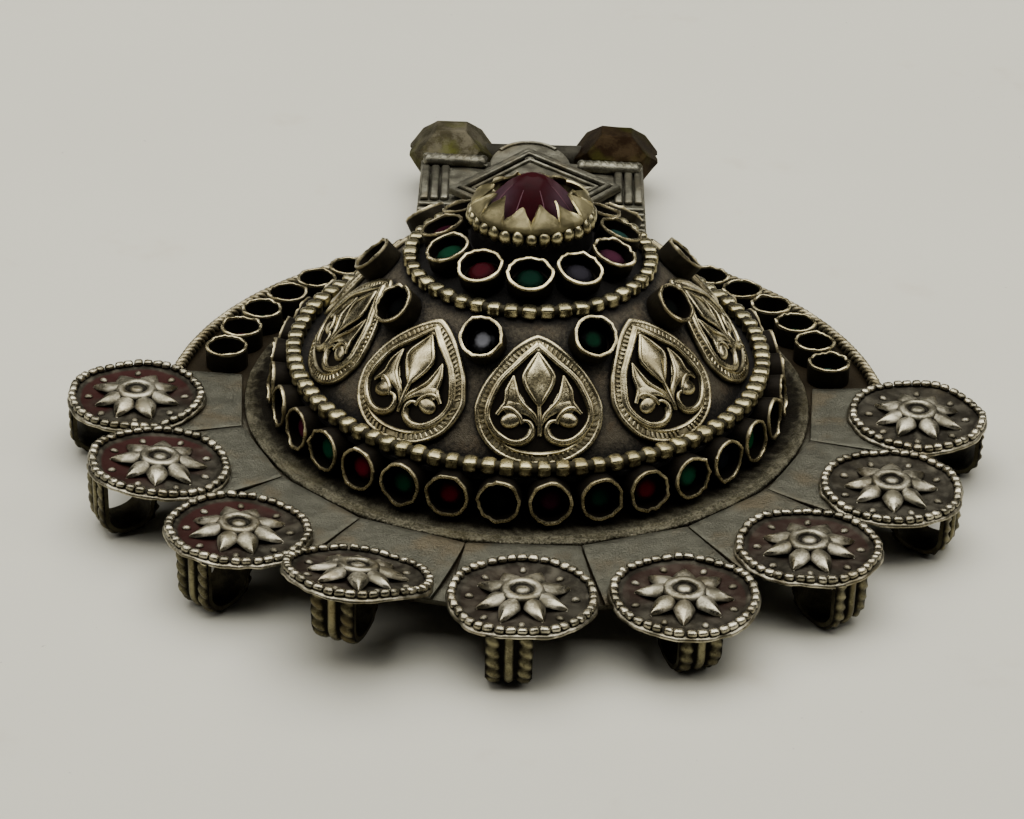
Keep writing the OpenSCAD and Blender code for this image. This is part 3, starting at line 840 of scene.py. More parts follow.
class PENDANT_OT_collets(bpy.types.Operator):
    """Collets of the drum, the tier, the slope and the plate's rear, with their stones"""

    bl_idname = "pendant.collets"
    bl_label = "Collets and stones"

    def execute(self, context):
        wear = context.scene.pendant_sizes.rim_wear
        drum = [(drum_seat(i), DRUM_TINTS[i]) for i in range(DRUM_COLLETS)]
        tier = [(tier_seat(i), TIER_TINTS[i]) for i in range(TIER_COLLETS)]
        slope = [(slope_seat(i), SLOPE_TINTS[i]) for i in range(HEARTS)]
        rear = [(rear_seat(i, side), REAR_TINTS[side][i]) for side in (-1, 1) for i in range(REAR_COLLETS)]
        # Seats, width, height and depth of a collet, its darkness, depth of the stones' colour and reach of its glow
        families = {
            "drum": (drum, 4.4, 3.0, 1.7, 1.0, 0.6, 0.42, ("drum_green_stones", "drum_red_stones")),
            "tier": (tier, 4.7, 1.9, 1.6, 1.0, 0.2, 0.46, ("tier_stones",)),
            "slope": (slope, 4.5, 2.2, 1.85, 0.98, 0.4, 0.26, ("slope_stones",)),
            "rear": (rear, 4.5, 2.4, 2.3, 0.98, 0.7, 0.36, ("rear_stones",)),
        }
        rng = random.Random(5)
        for family, (seats, width, height, depth, dark, deep, core, nodes) in families.items():
            shapes = [collet(width, height, depth, wear, seed, dark) for seed in range(5)]
            stone = cut_stone(width - 0.98, 0.85, core)
            tubes, stones = [], []
            for count, (seat, letter) in enumerate(seats):
                spin = turn(rng.random() * 360)
                tubes.append(copied(shapes[count % len(shapes)], seat @ spin))
                gem = copied(stone, seat @ shift(0, 0, height - depth) @ spin)
                stones.append(tinted(gem, [c * deep * rng.uniform(0.8, 1.2) for c in TINTS[letter]]))
            dropped(stone, *shapes)
            rims = smooth(joined(tubes, family + "_collets"), 40)
            finished(rims, family + "_collets", finish_of("rim_metal"), "worn_metal")
            gems = joined(stones, family + "_stones_cut")
            finished(gems, family + "_stones_cut", finish_of("stone_glass"), "green_glass", *nodes)
        return {"FINISHED"}


def wire_block(across, along, height, waist):
    """One block of a wire: a bevelled box, thinner in its middle."""
    block = cube("block", stretch(along, across, height))
    edit_all(block)
    bpy.ops.mesh.subdivide(number_cuts=2)
    done_editing()

    def shaped(p):
        inner = (1 - min(1.0, abs(p.z) / (height / 2))) * waist
        crown = 1 - 0.17 * (abs(p.x) / (along / 2)) ** 2
        round_top = 1 - 0.14 * (abs(p.y) / (across / 2)) ** 2
        return Vector((p.x * (1 - inner), p.y * (1 - inner * 0.4) * crown, p.z * crown * round_top))

    reshaped(block, shaped)
    return bevelled(block, min(across, along, height) * 0.2, 3, 40)


def block_ring(name, radius, height, count, size, waist, core, seed):
    """Blocks side by side round the dome on an unbroken core wire."""
    block = wire_block(*size, waist)
    rng = random.Random(seed)
    parts = []
    for i in range(count):
        grow = 1 + rng.uniform(-0.06, 0.06)
        tilt = Matrix.Rotation(math.radians(rng.uniform(-5, 5)), 4, "Y") @ turn(rng.uniform(-4, 4))
        spot = shift(0, -radius + rng.uniform(-0.05, 0.05), height + rng.uniform(-0.04, 0.04))
        parts.append(copied(block, turn(i * 360 / count) @ spot @ tilt @ stretch(grow, grow, 1)))
    wire = written(hoop("core", radius, core, count * 2, 12, height), "oxide_and_shade", 0.93)
    dropped(block)
    return smooth(joined([wire, *parts], name), 45)


class PENDANT_OT_wires(bpy.types.Operator):
    """Beaded wires round the drum, the tier and the centre setting"""

    bl_idname = "pendant.wires"
    bl_label = "Beaded wires"

    def execute(self, context):
        sizes = context.scene.pendant_sizes
        lower = block_ring("lower", 24.5, 5.22, sizes.lower_blocks, (1.8, 1.54, 1.42), 0.2, 0.6, 1)
        finished(lower, "lower_wire_blocks", finish_of("wire_metal"), "worn_metal", "lower_wire")
        upper = block_ring("upper", 12.4, 16.17, sizes.upper_blocks, (1.6, 1.54, 1.24), 0.18, 0.5, 2)
        finished(upper, "upper_wire_blocks", finish_of("wire_metal"), "worn_metal", "upper_wire")
        bead = ball("bead", 0.66, 12, 8)
        rng = random.Random(3)
        beads = []
        for i in range(sizes.centre_beads):
            grow = rng.uniform(0.94, 1.04)
            seat = turn(i * 360 / sizes.centre_beads) @ shift(0, -6.1, 21.0 + rng.uniform(-0.06, 0.06))
            lump = reshaped(copied(bead, Matrix.Identity(4)), lambda p: p + wobble(p, 1.4, 0.14, i))
            lump.data.transform(seat @ stretch(grow * 1.02, 0.98, grow * 1.3))
            beads.append(lump)
        core = written(hoop("core", 5.7, 0.42, 60, 8, 21.0), "oxide_and_shade", 1.0)
        dropped(bead)
        ring = smooth(joined([core, *beads], "bead_ring"), 60)
        finished(ring, "centre_bead_ring_beads", finish_of("wire_metal"), "worn_metal", "centre_bead_ring")
        return {"FINISHED"}


# Lift, tilt and way outwards of each disc, and lift and way sideways of its loop, from left to right
DISC_LIFT = (0.1, 0.55, 0.35, 2, 0.45, 0, 0.15, 0, 0.1)
DISC_TILT = (1.5, 6, 5, 15, 2, 0, 2, 0, 0)
DISC_OUT = (0, 0, 0, 2, 0, 1.2, 0, 0, 0)
LOOP_LIFT = (0, 0, 0, 2, 0, 0, 0, 0, 0)
LOOP_SIDE = (0, 0, 0.8, -0.4, -1.1, -0.5, -1, 0, 0)
# How far each strip's two sides stand back at its outer end
SIDE_OPEN = ((0.2, 0.3), (0.5, 0.9), (0.9, 0.3), (0.3, 1.1), (0.6, 0.3), (0.2, 0.2), (0.2, 0.6), (0.6, 0.3), (0.3, 0.2))
# Where each disc is stained most, and how much
STAIN_TURN = (200, 205, 200, 190, 180, 60, 40, 90, 90)
STAIN_SHARE = (0.9, 0.9, 0.85, 0.2, 0.12, 0.4, 0.4, 0.0, 0.0)


def petal():
    """One point of the flower: flat by the boss, then bent steeply down to the field, pointing away along +x."""
    leaf = grid("leaf", 14, 8)
    root, length, widest, foot = 1.7, 3.4, 2.8, 0.36

    def past(p):
        """0 up to the petal's widest place and 1 at its tip."""
        return max(0.0, root + length * (p.x + 1) / 2 - widest) / (root + length - widest)

    def shaped(p):
        reach = root + length * (p.x + 1) / 2
        end = past(p)
        half = 0.6 + (reach - root) * 0.54 if end == 0 else 1.16 * (1 - end**1.6) + 0.04
        height = foot + (1.0 - 0.4 * (reach - root) / length) * max(0.0, 1 - end**2.2) ** 0.6
        tip = min(1.0, end * 2.5)
        edge = 0.4 * abs(p.y) ** 2.4 * tip + 0.45 * abs(p.y) ** 5 * (1 - tip)
        crest = 0.09 * (1 - min(1.0, abs(p.y) * 2.5))
        return Vector((reach - 0.12 * abs(p.y), p.y * half, max(foot, height - edge) + crest * (1 - end)))

    # Painted shade along the petal's edges and over its flat inner half, which leaves a painted highlight on the bend
    # and tip.
    def oxide_and_shade(p):
        edge = limited(abs(p.y) * 3.2 - 2.4)
        flat = max(0.0, 0.5 - past(p)) * 0.9
        return min(0.95, edge + flat)

    written(leaf, "oxide_and_shade", oxide_and_shade)
    return smooth(thickened(facing_up(reshaped(leaf, shaped)), 0.2), 50)


def flower_disc():
    """A thin disc: beaded rim, sunken field, eight petals, dots between them and a ringed boss."""
    rim = [
        (0, 0), (7.2, 0), (7.38, 0.06), (7.4, 0.2), (7.3, 0.34), (7.1, 0.42), (6.5, 0.5), (6.2, 0.5), (6.05, 0.42),
        (5.8, 0.3), (4.0, 0.28),
    ]
    boss = [
        (2.2, 0.32), (2.14, 1.2), (1.98, 1.46), (1.8, 1.56), (1.35, 1.56), (1.2, 1.48), (1.1, 1.2), (0.84, 1.12),
        (0.7, 1.3), (0.45, 1.44), (0, 1.47),
    ]
    field = smooth(lathe("field", rim + boss, 96), 50)

    # Painted shade on the disc's underside; the sunken field dark with oxide; the boss darker towards its foot; the rim
    # left bright.
    def oxide_and_shade(p):
        reach = p.xy.length
        if p.z < 0.05:
            return 0.85
        if reach > 6.9:
            return 0.1
        if reach < 2.15:
            return limited((1.5 - p.z) * 4, 0.2, 0.95)
        return 0.96 - 0.2 * abs(noise.noise(p * 0.9))

    parts = [written(field, "oxide_and_shade", oxide_and_shade)]
    leaf = petal()
    bead = smooth(bevelled(cube("bead", stretch(0.86, 1.06, 0.68)), 0.3, 3), 60)
    # Painted shade on each bead's lower half.
    written(bead, "oxide_and_shade", lambda p: limited(-p.z * 4))
    dot = written(smooth(ball("dot", 0.36, 12, 8), 60), "oxide_and_shade", 0.45)
    rng = random.Random(8)
    for i in range(8):
        grow = rng.uniform(0.9, 1.03)
        skew = turn((i + 0.5) * 45 - 90 + rng.uniform(-3, 3))
        parts.append(copied(leaf, skew @ stretch(rng.uniform(0.93, 1.0), grow, 1)))
        parts.append(copied(dot, turn(i * 45 - 90) @ shift(5.05, 0, 0.3) @ stretch(1.3, 1, 0.8)))
    for i in range(40):
        grow = rng.uniform(0.88, 1.04)
        seat = turn(i * 9 + rng.uniform(-0.9, 0.9)) @ shift(6.8 + rng.uniform(-0.06, 0.04), 0, 0.72)
        askew = turn(rng.uniform(-12, 12))
        parts.append(copied(bead, seat @ askew @ stretch(1, grow, rng.uniform(0.85, 1.05))))
    dropped(leaf, bead, dot)
    return joined(parts, "disc")


def warped_disc(disc, k, warp):
    """A copy of the disc with its edge bent by hand and its field stained."""
    seed = 3.1 * k

    def bent(p):
        reach = (p.xy.length / 7.4) ** 2
        way = Vector((p.x, p.y, 0)).normalized() if p.xy.length > 0.01 else Vector((0, 0, 0))
        wave = noise.noise(way * 1.1 + Vector((seed, 0, 0)))
        pull = noise.noise(way * 1.6 + Vector((0, seed, 4)))
        nick = max(0.0, noise.noise(way * 4.5 + Vector((seed, 2, 0)))) * 0.035 if p.z < 0.45 else 0.0
        small = noise.noise(p * 0.9 + Vector((0, 0, seed)))
        shrink = 1 - (0.008 + 0.035 * abs(pull) + nick) * reach * warp / 0.35
        return Vector((p.x * shrink, p.y * shrink, p.z + (wave * warp * 1.6 + small * 0.12) * reach))

    aim = math.radians(STAIN_TURN[k])
    share = STAIN_SHARE[k]

    def stain(p):
        side = (p.x * math.cos(aim) + p.y * math.sin(aim)) / 6
        cloud = noise.noise(p * 0.5 + Vector((seed, seed, 0)))
        return share * limited(0.75 + side * 1.4 + cloud * 0.9) if p.z < 0.35 and p.xy.length < 6 else 0.0

    twin = copied(disc, Matrix.Identity(4), "disc")
    written(twin, "stain", stain)
    return reshaped(twin, bent)


def strip_sheet(k):
    """The flat strip: a wedge with slightly hollow sides and a few dents."""
    sheet = grid("sheet", 16, 14)
    left, right = SIDE_OPEN[k]
    slope = math.tan(math.radians(STRIP_STEP / 2))

    def shaped(p):
        way = (1 - p.y) / 2
        radius = FLANGE_R + STRIP_L * way
        open_side = 0.07 + (left if p.x < 0 else right) * way**1.6
        half = radius * slope - open_side
        sag = 0.05 * wobble((p.x * 3 + 9 * k, way * 4, 0), 0.9, 1.0).z
        return Vector((p.x * half, -radius, -0.03 + sag))

    reshaped(sheet, shaped)
    thickened(facing_up(outwards(sheet)), 0.42)
    bevelled(sheet, 0.1, 2)
    # Painted shade on the strip's underside.
    written(sheet, "oxide_and_shade", lambda p: 0.8 if p.z < -0.25 else 0.0)
    return smooth(sheet, 40)


def loop_strap(inner_leg, outer_leg):
    """A strap bent into a loop: a plain rib between two notched ones on a smooth band, black in between."""
    bend = 2.3
    total = inner_leg + outer_leg + math.pi * bend

    def rib(p):
        way = (p.x + 1) / 2 * total
        for middle, width in ((-0.67, 0.33), (0.0, 0.22), (0.67, 0.33)):
            centre = middle * (1 + 0.06 * math.sin(way * 0.6))
            near = (p.y - centre) / width
            if abs(near) < 1:
                twist = 0.24 * abs(math.sin(way * 2.6 + near * 0.9)) ** 2 if middle else 0.03
                return max(0.05, 0.47 * (1 - near**2) ** 0.5 - twist)
        return 0.0

    def bent_sheet(steps, height, thickness):
        sheet = written(grid("sheet", 64, steps), "oxide_and_shade", lambda p: limited(1.0 - (height(p) - 0.14) * 5))

        def shaped(p):
            way = (p.x + 1) / 2 * total
            radius = 2.07 + height(p)
            across = p.y * 2.2
            if way < inner_leg:
                up = inner_leg - way
                return Vector((across, radius * 1.5 + 0.7 * up**2 / max(0.5, inner_leg), up))
            if way > total - outer_leg:
                return Vector((across, -radius, way - total + outer_leg))
            angle = (way - inner_leg) / bend
            wide = 1.5 if math.cos(angle) > 0 else 1.0
            return Vector((across, radius * wide * math.cos(angle), -radius * math.sin(angle)))

        outwards(reshaped(sheet, shaped))
        bottom = min(sheet.data.polygons, key=lambda face: face.center.z)
        if bottom.normal.z > 0:
            flipped(sheet)
        return thickened(sheet, thickness)

    ribs = smooth(bent_sheet(40, rib, 0.1), 40)
    band = smooth(bent_sheet(4, lambda p: -0.02, 0.42), 40)
    return joined([ribs, written(band, "oxide_and_shade", 0.75)], "strap")


class PENDANT_OT_strips(bpy.types.Operator):
    """Nine flat strips, each with its flower disc and its ribbed loop"""

    bl_idname = "pendant.strips"
    bl_label = "Flower strips"

    def execute(self, context):
        warp = context.scene.pendant_sizes.disc_warp
        disc = flower_disc()
        for k in range(STRIPS):
            place = turn((k - STRIPS // 2) * STRIP_STEP)
            slope = math.tan(math.radians(DISC_TILT[k]))
            ring = DISC_RING + DISC_OUT[k]
            loop_z = 2.6 - REST_H + LOOP_LIFT[k]
            seat = place @ shift(0, -ring, DISC_LIFT[k]) @ lean(-DISC_TILT[k])
            inner_leg = DISC_LIFT[k] + (LOOP_RING - ring - 1.8) * slope - 0.15 - loop_z
            outer_leg = DISC_LIFT[k] + (LOOP_RING - ring + 2) * slope + 0.2 - loop_z
            flower = warped_disc(disc, k, warp)
            flower.data.transform(seat)
            finished(flower, f"flower_disc_{k + 1}", finish_of("disc_metal"), "worn_metal", f"flower_strip_{k + 1}")
            sheet = strip_sheet(k)
            sheet.data.transform(place)
            tongue = cube("tongue", seat @ shift(0, -0.8, -0.24) @ stretch(6.8, 5.4, 0.5))
            parts = [sheet, bevelled(tongue, 0.08)]
            if DISC_LIFT[k] > 1:
                climb = math.degrees(math.atan2(2.3, 4.4))
                bend = cube("bend", place @ shift(0, -41.1, 0.75) @ lean(-climb) @ stretch(6.8, 5.2, 0.42))
                parts.append(bevelled(bend, 0.08))
            finished(joined(parts, "strip"), f"strip_{k + 1}", finish_of("sheet_metal"), "grey_metal")
            strap = loop_strap(inner_leg, outer_leg)
            strap.data.transform(place @ shift(LOOP_SIDE[k], -LOOP_RING, loop_z))
            finished(strap, f"hanging_loop_{k + 1}", finish_of("loop_metal"), "knob_metal")
        dropped(disc)
        return {"FINISHED"}


# How far up the slope a heart's widest place lies, its width, and its reach up and down from there
HEART_MID = 5.2
HEART_W, HEART_UP, HEART_DOWN = 12.8, 8.0, 5.1


def bent_power(x, power):
    """A power that keeps the sign."""
    return math.copysign(abs(x) ** power, x)


def heart_rim(angle, part):
    """A point of the heart's outline, or of a smaller one inside it."""
    c, s = math.cos(angle), math.sin(angle)
    power, reach = (1.45, HEART_UP) if s > 0 else (0.86, HEART_DOWN)
    return Vector((part * HEART_W / 2 * bent_power(c, power), part * reach * bent_power(s, power)))


def smooth_line(points, steps=6):
    """A curve through the points, each a tuple of any length."""
    ends = [points[0], *points, points[-1]]
    line = []
    for a, b, c, d in zip(ends, ends[1:], ends[2:], ends[3:]):
        for step in range(steps):
            t = step / steps
            line.append(tuple(
                (2 * q + (r - p) * t + (2 * p - 5 * q + 4 * r - s) * t**2 + (3 * q - p - 3 * r + s) * t**3) / 2
                for p, q, r, s in zip(a, b, c, d)
            ))
    return [*line, tuple(points[-1])]


def both_sides(line):
    """A line and its mirror image."""
    return [line, [(-x, *rest) for x, *rest in line]]


def heart_plate():
    """The plate with its stepped border, from rings of its outline."""
    # Share of the outline and height of each ring
    rings = [
        (1.0, 0.12), (1.0, 0.42), (0.985, 0.56), (0.965, 0.6), (0.93, 0.55), (0.92, 0.46), (0.83, 0.44), (0.82, 0.56),
        (0.79, 0.62), (0.76, 0.52), (0.74, 0.34), (0.4, 0.3), (0.02, 0.32),
    ]
    plate = grid("plate", 72, len(rings) - 1)

    def shaped(p):
        part, off = rings[round((p.y + 1) / 2 * (len(rings) - 1))]
        return Vector((*heart_rim((p.x + 1) * math.pi, part), off))

    return smooth(outwards(reshaped(plate, shaped)), 45)


def border_notches():
    """Small bars across the border, one mesh."""
    bar = cube("bar", Matrix.Identity(4))
    pitch = 0.52
    parts = []
    spots = [heart_rim(math.tau * j / 720, 0.875) for j in range(721)]
    walked = 0.0
    for a, b in zip(spots, spots[1:]):
        before = walked
        walked += (b - a).length
        bottom_break = abs(a.x) < 0.5 and a.y < 0
        if int(before / pitch) != int(walked / pitch) and not bottom_break:
            way = math.degrees(math.atan2(b.y - a.y, b.x - a.x))
            parts.append(copied(bar, shift(a.x, a.y, 0.47) @ turn(way + 14) @ stretch(0.3, 0.62, 0.26)))
    dropped(bar)
    return bevelled(joined(parts, "bars"), 0.07, 1)


def leaf_shape(line, crown, low=0.3):
    """A leaf along a line of (across, up, half width) points: steep at its edge, then domed by its crown."""
    last = len(line) - 1
    leaf = grid("leaf", last, 8)

    def shaped(p):
        k = round((p.x + 1) / 2 * last)
        x, y, half = line[k]
        ahead, behind = line[min(last, k + 1)], line[max(0, k - 1)]
        way = Vector((ahead[0] - behind[0], ahead[1] - behind[1])).normalized()
        side = math.copysign(min(1.0, abs(p.y) * 1.3), p.y)
        height = 0.3 if abs(p.y) > 0.9 or half < 0.03 else low + crown * (1 - side**2) ** 0.5
        return Vector((x - way.y * half * side, y + way.x * half * side, height))

    return smooth(outwards(reshaped(leaf, shaped)), 50)


def heart_relief():
    """Inner heart whose ends curl into scrolls, bud on its stem, two leaves that run into rolled balls."""
    # Lines of (across, up, off, thickness)
    frame_line = smooth_line([
        (0, 6.7, 0.6, 1.0), (1.7, 5.05, 0.64, 1.1), (3.5, 3.2, 0.64, 1.1), (4.55, 1.2, 0.64, 1.1),
        (4.95, -0.2, 0.62, 1.1), (4.75, -1.2, 0.62, 1.1), (4.1, -2.1, 0.62, 1.1), (3.1, -2.75, 0.62, 1.2),
        (2.0, -2.85, 0.62, 1.2), (1.05, -2.4, 0.62, 1.2), (0.7, -1.6, 0.62, 1.2), (1.0, -0.95, 0.6, 1.1),
        (1.6, -0.8, 0.6, 0.9),
    ])
    slant = [(x * 1.035, y * 1.035 - 0.03, 0.4, 2.1) for x, y, _, _ in frame_line[:62]]
    stem = smooth_line([(0, 0.9, 0.5, 1.2), (0, -0.4, 0.56, 1.3), (0.05, -1.6, 0.52, 1.4), (0, -2.2, 0.4, 1.2)])
    leaf_inner = smooth_line([
        (0.2, -1.2, 0.5, 1), (0.55, -0.2, 0.62, 1.1), (1.3, 0.6, 0.66, 1.1), (2.0, 1.6, 0.66, 1.1),
        (2.45, 3.6, 0.5, 0.6),
    ])
    leaf_outer = smooth_line([
        (2.45, 3.6, 0.5, 0.6), (3.1, 2.2, 0.62, 1), (3.25, 1.0, 0.62, 1), (3.6, 0.35, 0.64, 1.2), (4.1, -0.3, 0.6, 1),
    ])
    hook = smooth_line([
        (3.9, 0.0, 0.62, 0.9), (3.2, 0.35, 0.68, 1.1), (2.5, 0.2, 0.7, 1.1), (1.9, -0.4, 0.66, 1.1),
        (1.65, -1.1, 0.56, 0.9),
    ])
    bud_edge = smooth_line([
        (0, 6.0, 0.6, 0.8), (0.7, 4.95, 0.64, 1.1), (1.4, 3.7, 0.66, 1.2), (1.3, 2.8, 0.64, 1.2), (0.65, 1.6, 0.6, 1.0),
        (0.12, 0.8, 0.5, 0.9),
    ])
    halves = (frame_line, slant, leaf_inner, leaf_outer, hook, bud_edge)
    lines = [line for half in halves for line in both_sides(half)]
    parts = [smooth(swept("relief", [*lines, stem], 0.19), 60)]
    lump = smooth(ball("lump", 1, 20, 10), 60)
    for side in (-1, 1):
        parts.append(copied(lump, shift(side * 2.75, -0.75, 0.34) @ turn(side * -25) @ stretch(1.15, 0.8, 0.46)))
        arm = [(0.3, -1.0, 0.12), (0.9, -0.1, 0.35), (1.7, 0.5, 0.6), (2.6, 0.6, 0.7), (3.4, 0.1, 0.5)]
        blade = [(2.1, 0.7, 0.85), (2.45, 1.5, 0.75), (2.6, 2.5, 0.42), (2.45, 3.5, 0.03)]
        for line, crown in ((arm, 0.16), (blade, 0.14)):
            parts.append(leaf_shape(smooth_line([(side * x, y, half) for x, y, half in line]), crown, 0.5))
    bud = smooth_line([(0, 0.6, 0.15), (0, 1.6, 0.65), (0, 2.8, 1.25), (0, 3.8, 1.35), (0, 5.0, 0.7), (0, 5.9, 0.04)])
    parts.append(leaf_shape(bud, 0.24, 0.52))
    dropped(lump)
    return joined(parts, "relief")


class PENDANT_OT_hearts(bpy.types.Operator):
    """Nine heart plates, bent to the slope"""

    bl_idname = "pendant.hearts"
    bl_label = "Hearts"

    def execute(self, context):
        plate, bars, relief = heart_plate(), border_notches(), heart_relief()
        written(plate, "oxide_and_shade", lambda p: 1.0 if p.z < 0.4 else limited((0.56 - p.z) * 5, 0.0, 0.45))
        written(bars, "oxide_and_shade", 0.1)
        written(relief, "oxide_and_shade", lambda p: limited((0.5 - p.z) * 6))
        flat = joined([plate, bars, relief], "heart")
        reshaped(flat, lambda p: on_slope((p.x, HEART_MID + p.y, p.z)))
        for k in range(HEARTS):
            heart = copied(flat, turn(HEART_TURN + k * HEART_STEP), "heart")
            reshaped(heart, lambda p: p + wobble(p, 0.6, 0.05, k))
            finished(heart, f"heart_plate_{k + 1}", finish_of("cast_metal"), "worn_metal", f"heart_{k + 1}")
        dropped(flat)
        return {"FINISHED"}


TEETH = 13


def toothed_bowl():
    """The setting's wall, one sheet: it swells out, bends in over the stone and ends in flat pointed teeth."""
    wall = smooth_line([
        (5.3, 20.8), (5.9, 21.3), (6.2, 21.7), (6.27, 22.1), (6.15, 22.45), (5.6, 22.85), (4.95, 23.2), (4.3, 23.5),
        (3.6, 23.8),
    ])
    # Share of the wall below the teeth, where the round wall turns into flat teeth, and width of a tooth's lip, which
    # also carries a painted highlight
    cut_from, flat_from, lip_and_highlight_width = 0.5, 0.42, 0.1
    rng = random.Random(12)
    tips = [rng.uniform(0.87, 1.0) for _ in range(TEETH)]
    leans = [rng.uniform(-0.16, 0.16) for _ in range(TEETH)]
    turns = [rng.uniform(-1.1, 1.1) for _ in range(TEETH)]
    lifts = [rng.uniform(-0.1, 0.35) for _ in range(TEETH)]
    sheet = grid("bowl", TEETH * 14, 16)

    def on_tooth(p):
        """Place round the wall, tooth, place across it, way up the sheet and how near its left cut edge is, which
        raises a lip there and paints a highlight on it.
        """
        place = (p.x + 1) / 2 * TEETH
        tooth = min(TEETH - 1, int(place + 0.0001))
        across = place - tooth
        peak = 0.5 + leans[tooth]
        side = across / peak if across < peak else (1 - across) / (1 - peak)
        end = cut_from + (tips[tooth] - cut_from) * max(0.0, side) ** 0.8
        way = (p.y + 1) / 2 * end
        lip_and_highlight = max(0.0, 1 - (end - way) / lip_and_highlight_width) * (1.0 if across < peak else max(0.0, 1 - side * 2.5))
        return place, tooth, across, way, lip_and_highlight

    # Painted shade over the wall and teeth, left off the lips so that they show as painted highlights.
    written(sheet, "oxide_and_shade", lambda p: 0.74 * (1 - on_tooth(p)[4] ** 0.6))

    def shaped(p):
        place, tooth, across, way, lip_and_highlight = on_tooth(p)
        step = way * (len(wall) - 1)
        k = min(len(wall) - 2, int(step))
        (r0, z0), (r1, z1) = wall[k], wall[k + 1]
        radius = r0 + (r1 - r0) * (step - k)
        height = z0 + (z1 - z0) * (step - k)
        bend = limited((way - flat_from) / 0.12)
        angle = math.tau * place / TEETH
        off = (across - 0.5) * math.tau / TEETH
        flat = math.cos(math.pi / TEETH) / math.cos(off)
        radius *= 1 - bend * (1 - flat)
        past = max(0.0, way - cut_from)
        rise = height + past * (lifts[tooth] * 2.2 + turns[tooth] * (across - 0.5) * 3.0)
        return Vector((radius * math.sin(angle), -radius * math.cos(angle), rise + 0.26 * lip_and_highlight))

    outwards(reshaped(sheet, shaped))
    reshaped(sheet, lambda p: p + wobble(p, 0.9, 0.12))
    low = min(sheet.data.polygons, key=lambda face: abs(face.center.z - 22.5))
    if low.normal.x * low.center.x + low.normal.y * low.center.y < 0:
        flipped(sheet)
    return smooth(thickened(sheet, 0.2), 32)


def tall_stone():
    """A tall stone: eight long facets and a rounded top, with worn pale lines between the facets."""
    sides = 8
    crown = [(4.55, 21.9), (4.1, 22.6), (3.5, 23.25), (2.85, 23.95), (2.15, 24.6), (1.4, 25.15), (0.65, 25.45)]
    stone = primitive(bpy.ops.mesh.primitive_cylinder_add, "stone", vertices=sides, radius=crown[0][0], depth=0.4)
    stone.data.transform(shift(0, 0, 21.7) @ turn(180 / sides - 2))
    select_faces(stone, lambda c, n: n.z > 0.9)
    for (r0, z0), (r1, z1) in zip(crown, crown[1:]):
        extrude_by(0, 0, z1 - z0)
        bpy.ops.transform.resize(value=(r1 / r0, r1 / r0, 1), center_override=(0, 0, 0))
    done_editing()
    written(stone, "core", 0.5)
    # The side facets are painted a pale lavender sheen, as a worn surface shows it; the front facets stay deep red.
    red, worn = Vector((0.044, 0.001, 0.0045)), Vector((0.11, 0.056, 0.076))
    tinted(stone, lambda p: tuple(red.lerp(worn, limited((abs(p.x) - 1.5) / 1.6))))
    first = stone.data.vertices[0].co
    begin = math.atan2(first.y, first.x)
    lines = []
    for i in range(sides):
        c, s = math.cos(begin + math.tau * i / sides), math.sin(begin + math.tau * i / sides)
        lines.append([(r * c, r * s, z, 1.0 if z < 24.5 else 0.5) for r, z in crown[:-2]])
    smooth(stone, 19)
    edges = swept("edges", lines, 0.05, 1)
    written(edges, "core", 1.0)
    tinted(edges, (0.16, 0.075, 0.095))
    return joined([stone, edges], "tall_stone")


class PENDANT_OT_centre(bpy.types.Operator):
    """Centre setting with its thirteen bent teeth, and the tall stone in it"""

    bl_idname = "pendant.centre"
    bl_label = "Centre setting and stone"

    def execute(self, context):
        foot = smooth(lathe("foot", [(0, 20.62), (5.0, 20.62), (5.05, 20.9), (4.8, 21.9), (0, 21.9)], 60), 45)
        written(foot, "oxide_and_shade", 1.0)
        setting = joined([foot, toothed_bowl()], "setting")
        finished(setting, "centre_setting", finish_of("gilt_metal"), "worn_metal", "centre_bezel")
        finished(tall_stone(), "centre_stone_cut", finish_of("worn_glass"), "red_glass", "centre_stone")
        return {"FINISHED"}


# Half the neck's width, where the rope bar crosses it, and the middle of the right knob
NECK_HALF = 13.6
BAR_Y = 55.9
KNOB_X, KNOB_Y, KNOB_Z = 10.35, 62.0, -1.0


def rib(size, matrix, round_off):
    """A bar with its edges rounded off."""
    return smooth(bevelled(cube("rib", matrix @ stretch(*size)), round_off, 2), 60)


def neck_piece():
    """Plate with cross ridges, three ribs along each side and a rope bar at its far end, left and right."""
    plate = grid("plate", 44, 44)
    middle, half = 44.45, 13.4

    def shaped(p):
        y = middle + half * p.y
        dents = wobble((p.x * 12, y, 0), 0.5, 0.16).z
        return Vector((p.x * (NECK_HALF - 0.05), y, 0.36 + dents))

    reshaped(plate, shaped)
    thickened(facing_up(outwards(plate)), 0.82)
    parts = [smooth(bevelled(plate, 0.12, 2, 50), 40)]
    for i in range(7):
        parts.append(rib((27, 0.75, 0.7), shift(0, 35.6 + i * 1.5, 0.55) @ turn(0.6 - 0.2 * i), 0.22))
    turned = turn(-3)
    start, length = 5.5, 7.8
    for side in (-1, 1):
        for i in range(3):
            parts.append(rib((1.0, 9.2, 0.62), shift(side * (12.85 - i * 1.2), 50.8, 0.6) @ turn(side * -0.8), 0.25))
    for side in (-1, 1):
        seat = shift(0, BAR_Y, 0.95) @ turned @ shift(side * (start + length / 2), 0, 0)
        parts.append(rib((length, 1.75, 1.5), seat, 0.6))
        strands = []
        for phase in (0, math.pi):
            line = []
            for step in range(49):
                x = start + 0.2 + (length - 0.4) * step / 48
                angle = phase + step * 0.5
                spot = turned @ Vector((side * x, 0.56 * math.cos(angle), 0.5 * math.sin(angle)))
                line.append((spot.x, spot.y + BAR_Y, spot.z + 1.0))
            strands.append(line)
        parts.append(written(smooth(swept("rope", strands, 0.34), 60), "oxide_and_shade", 0.25))
    return joined(parts, "neck")


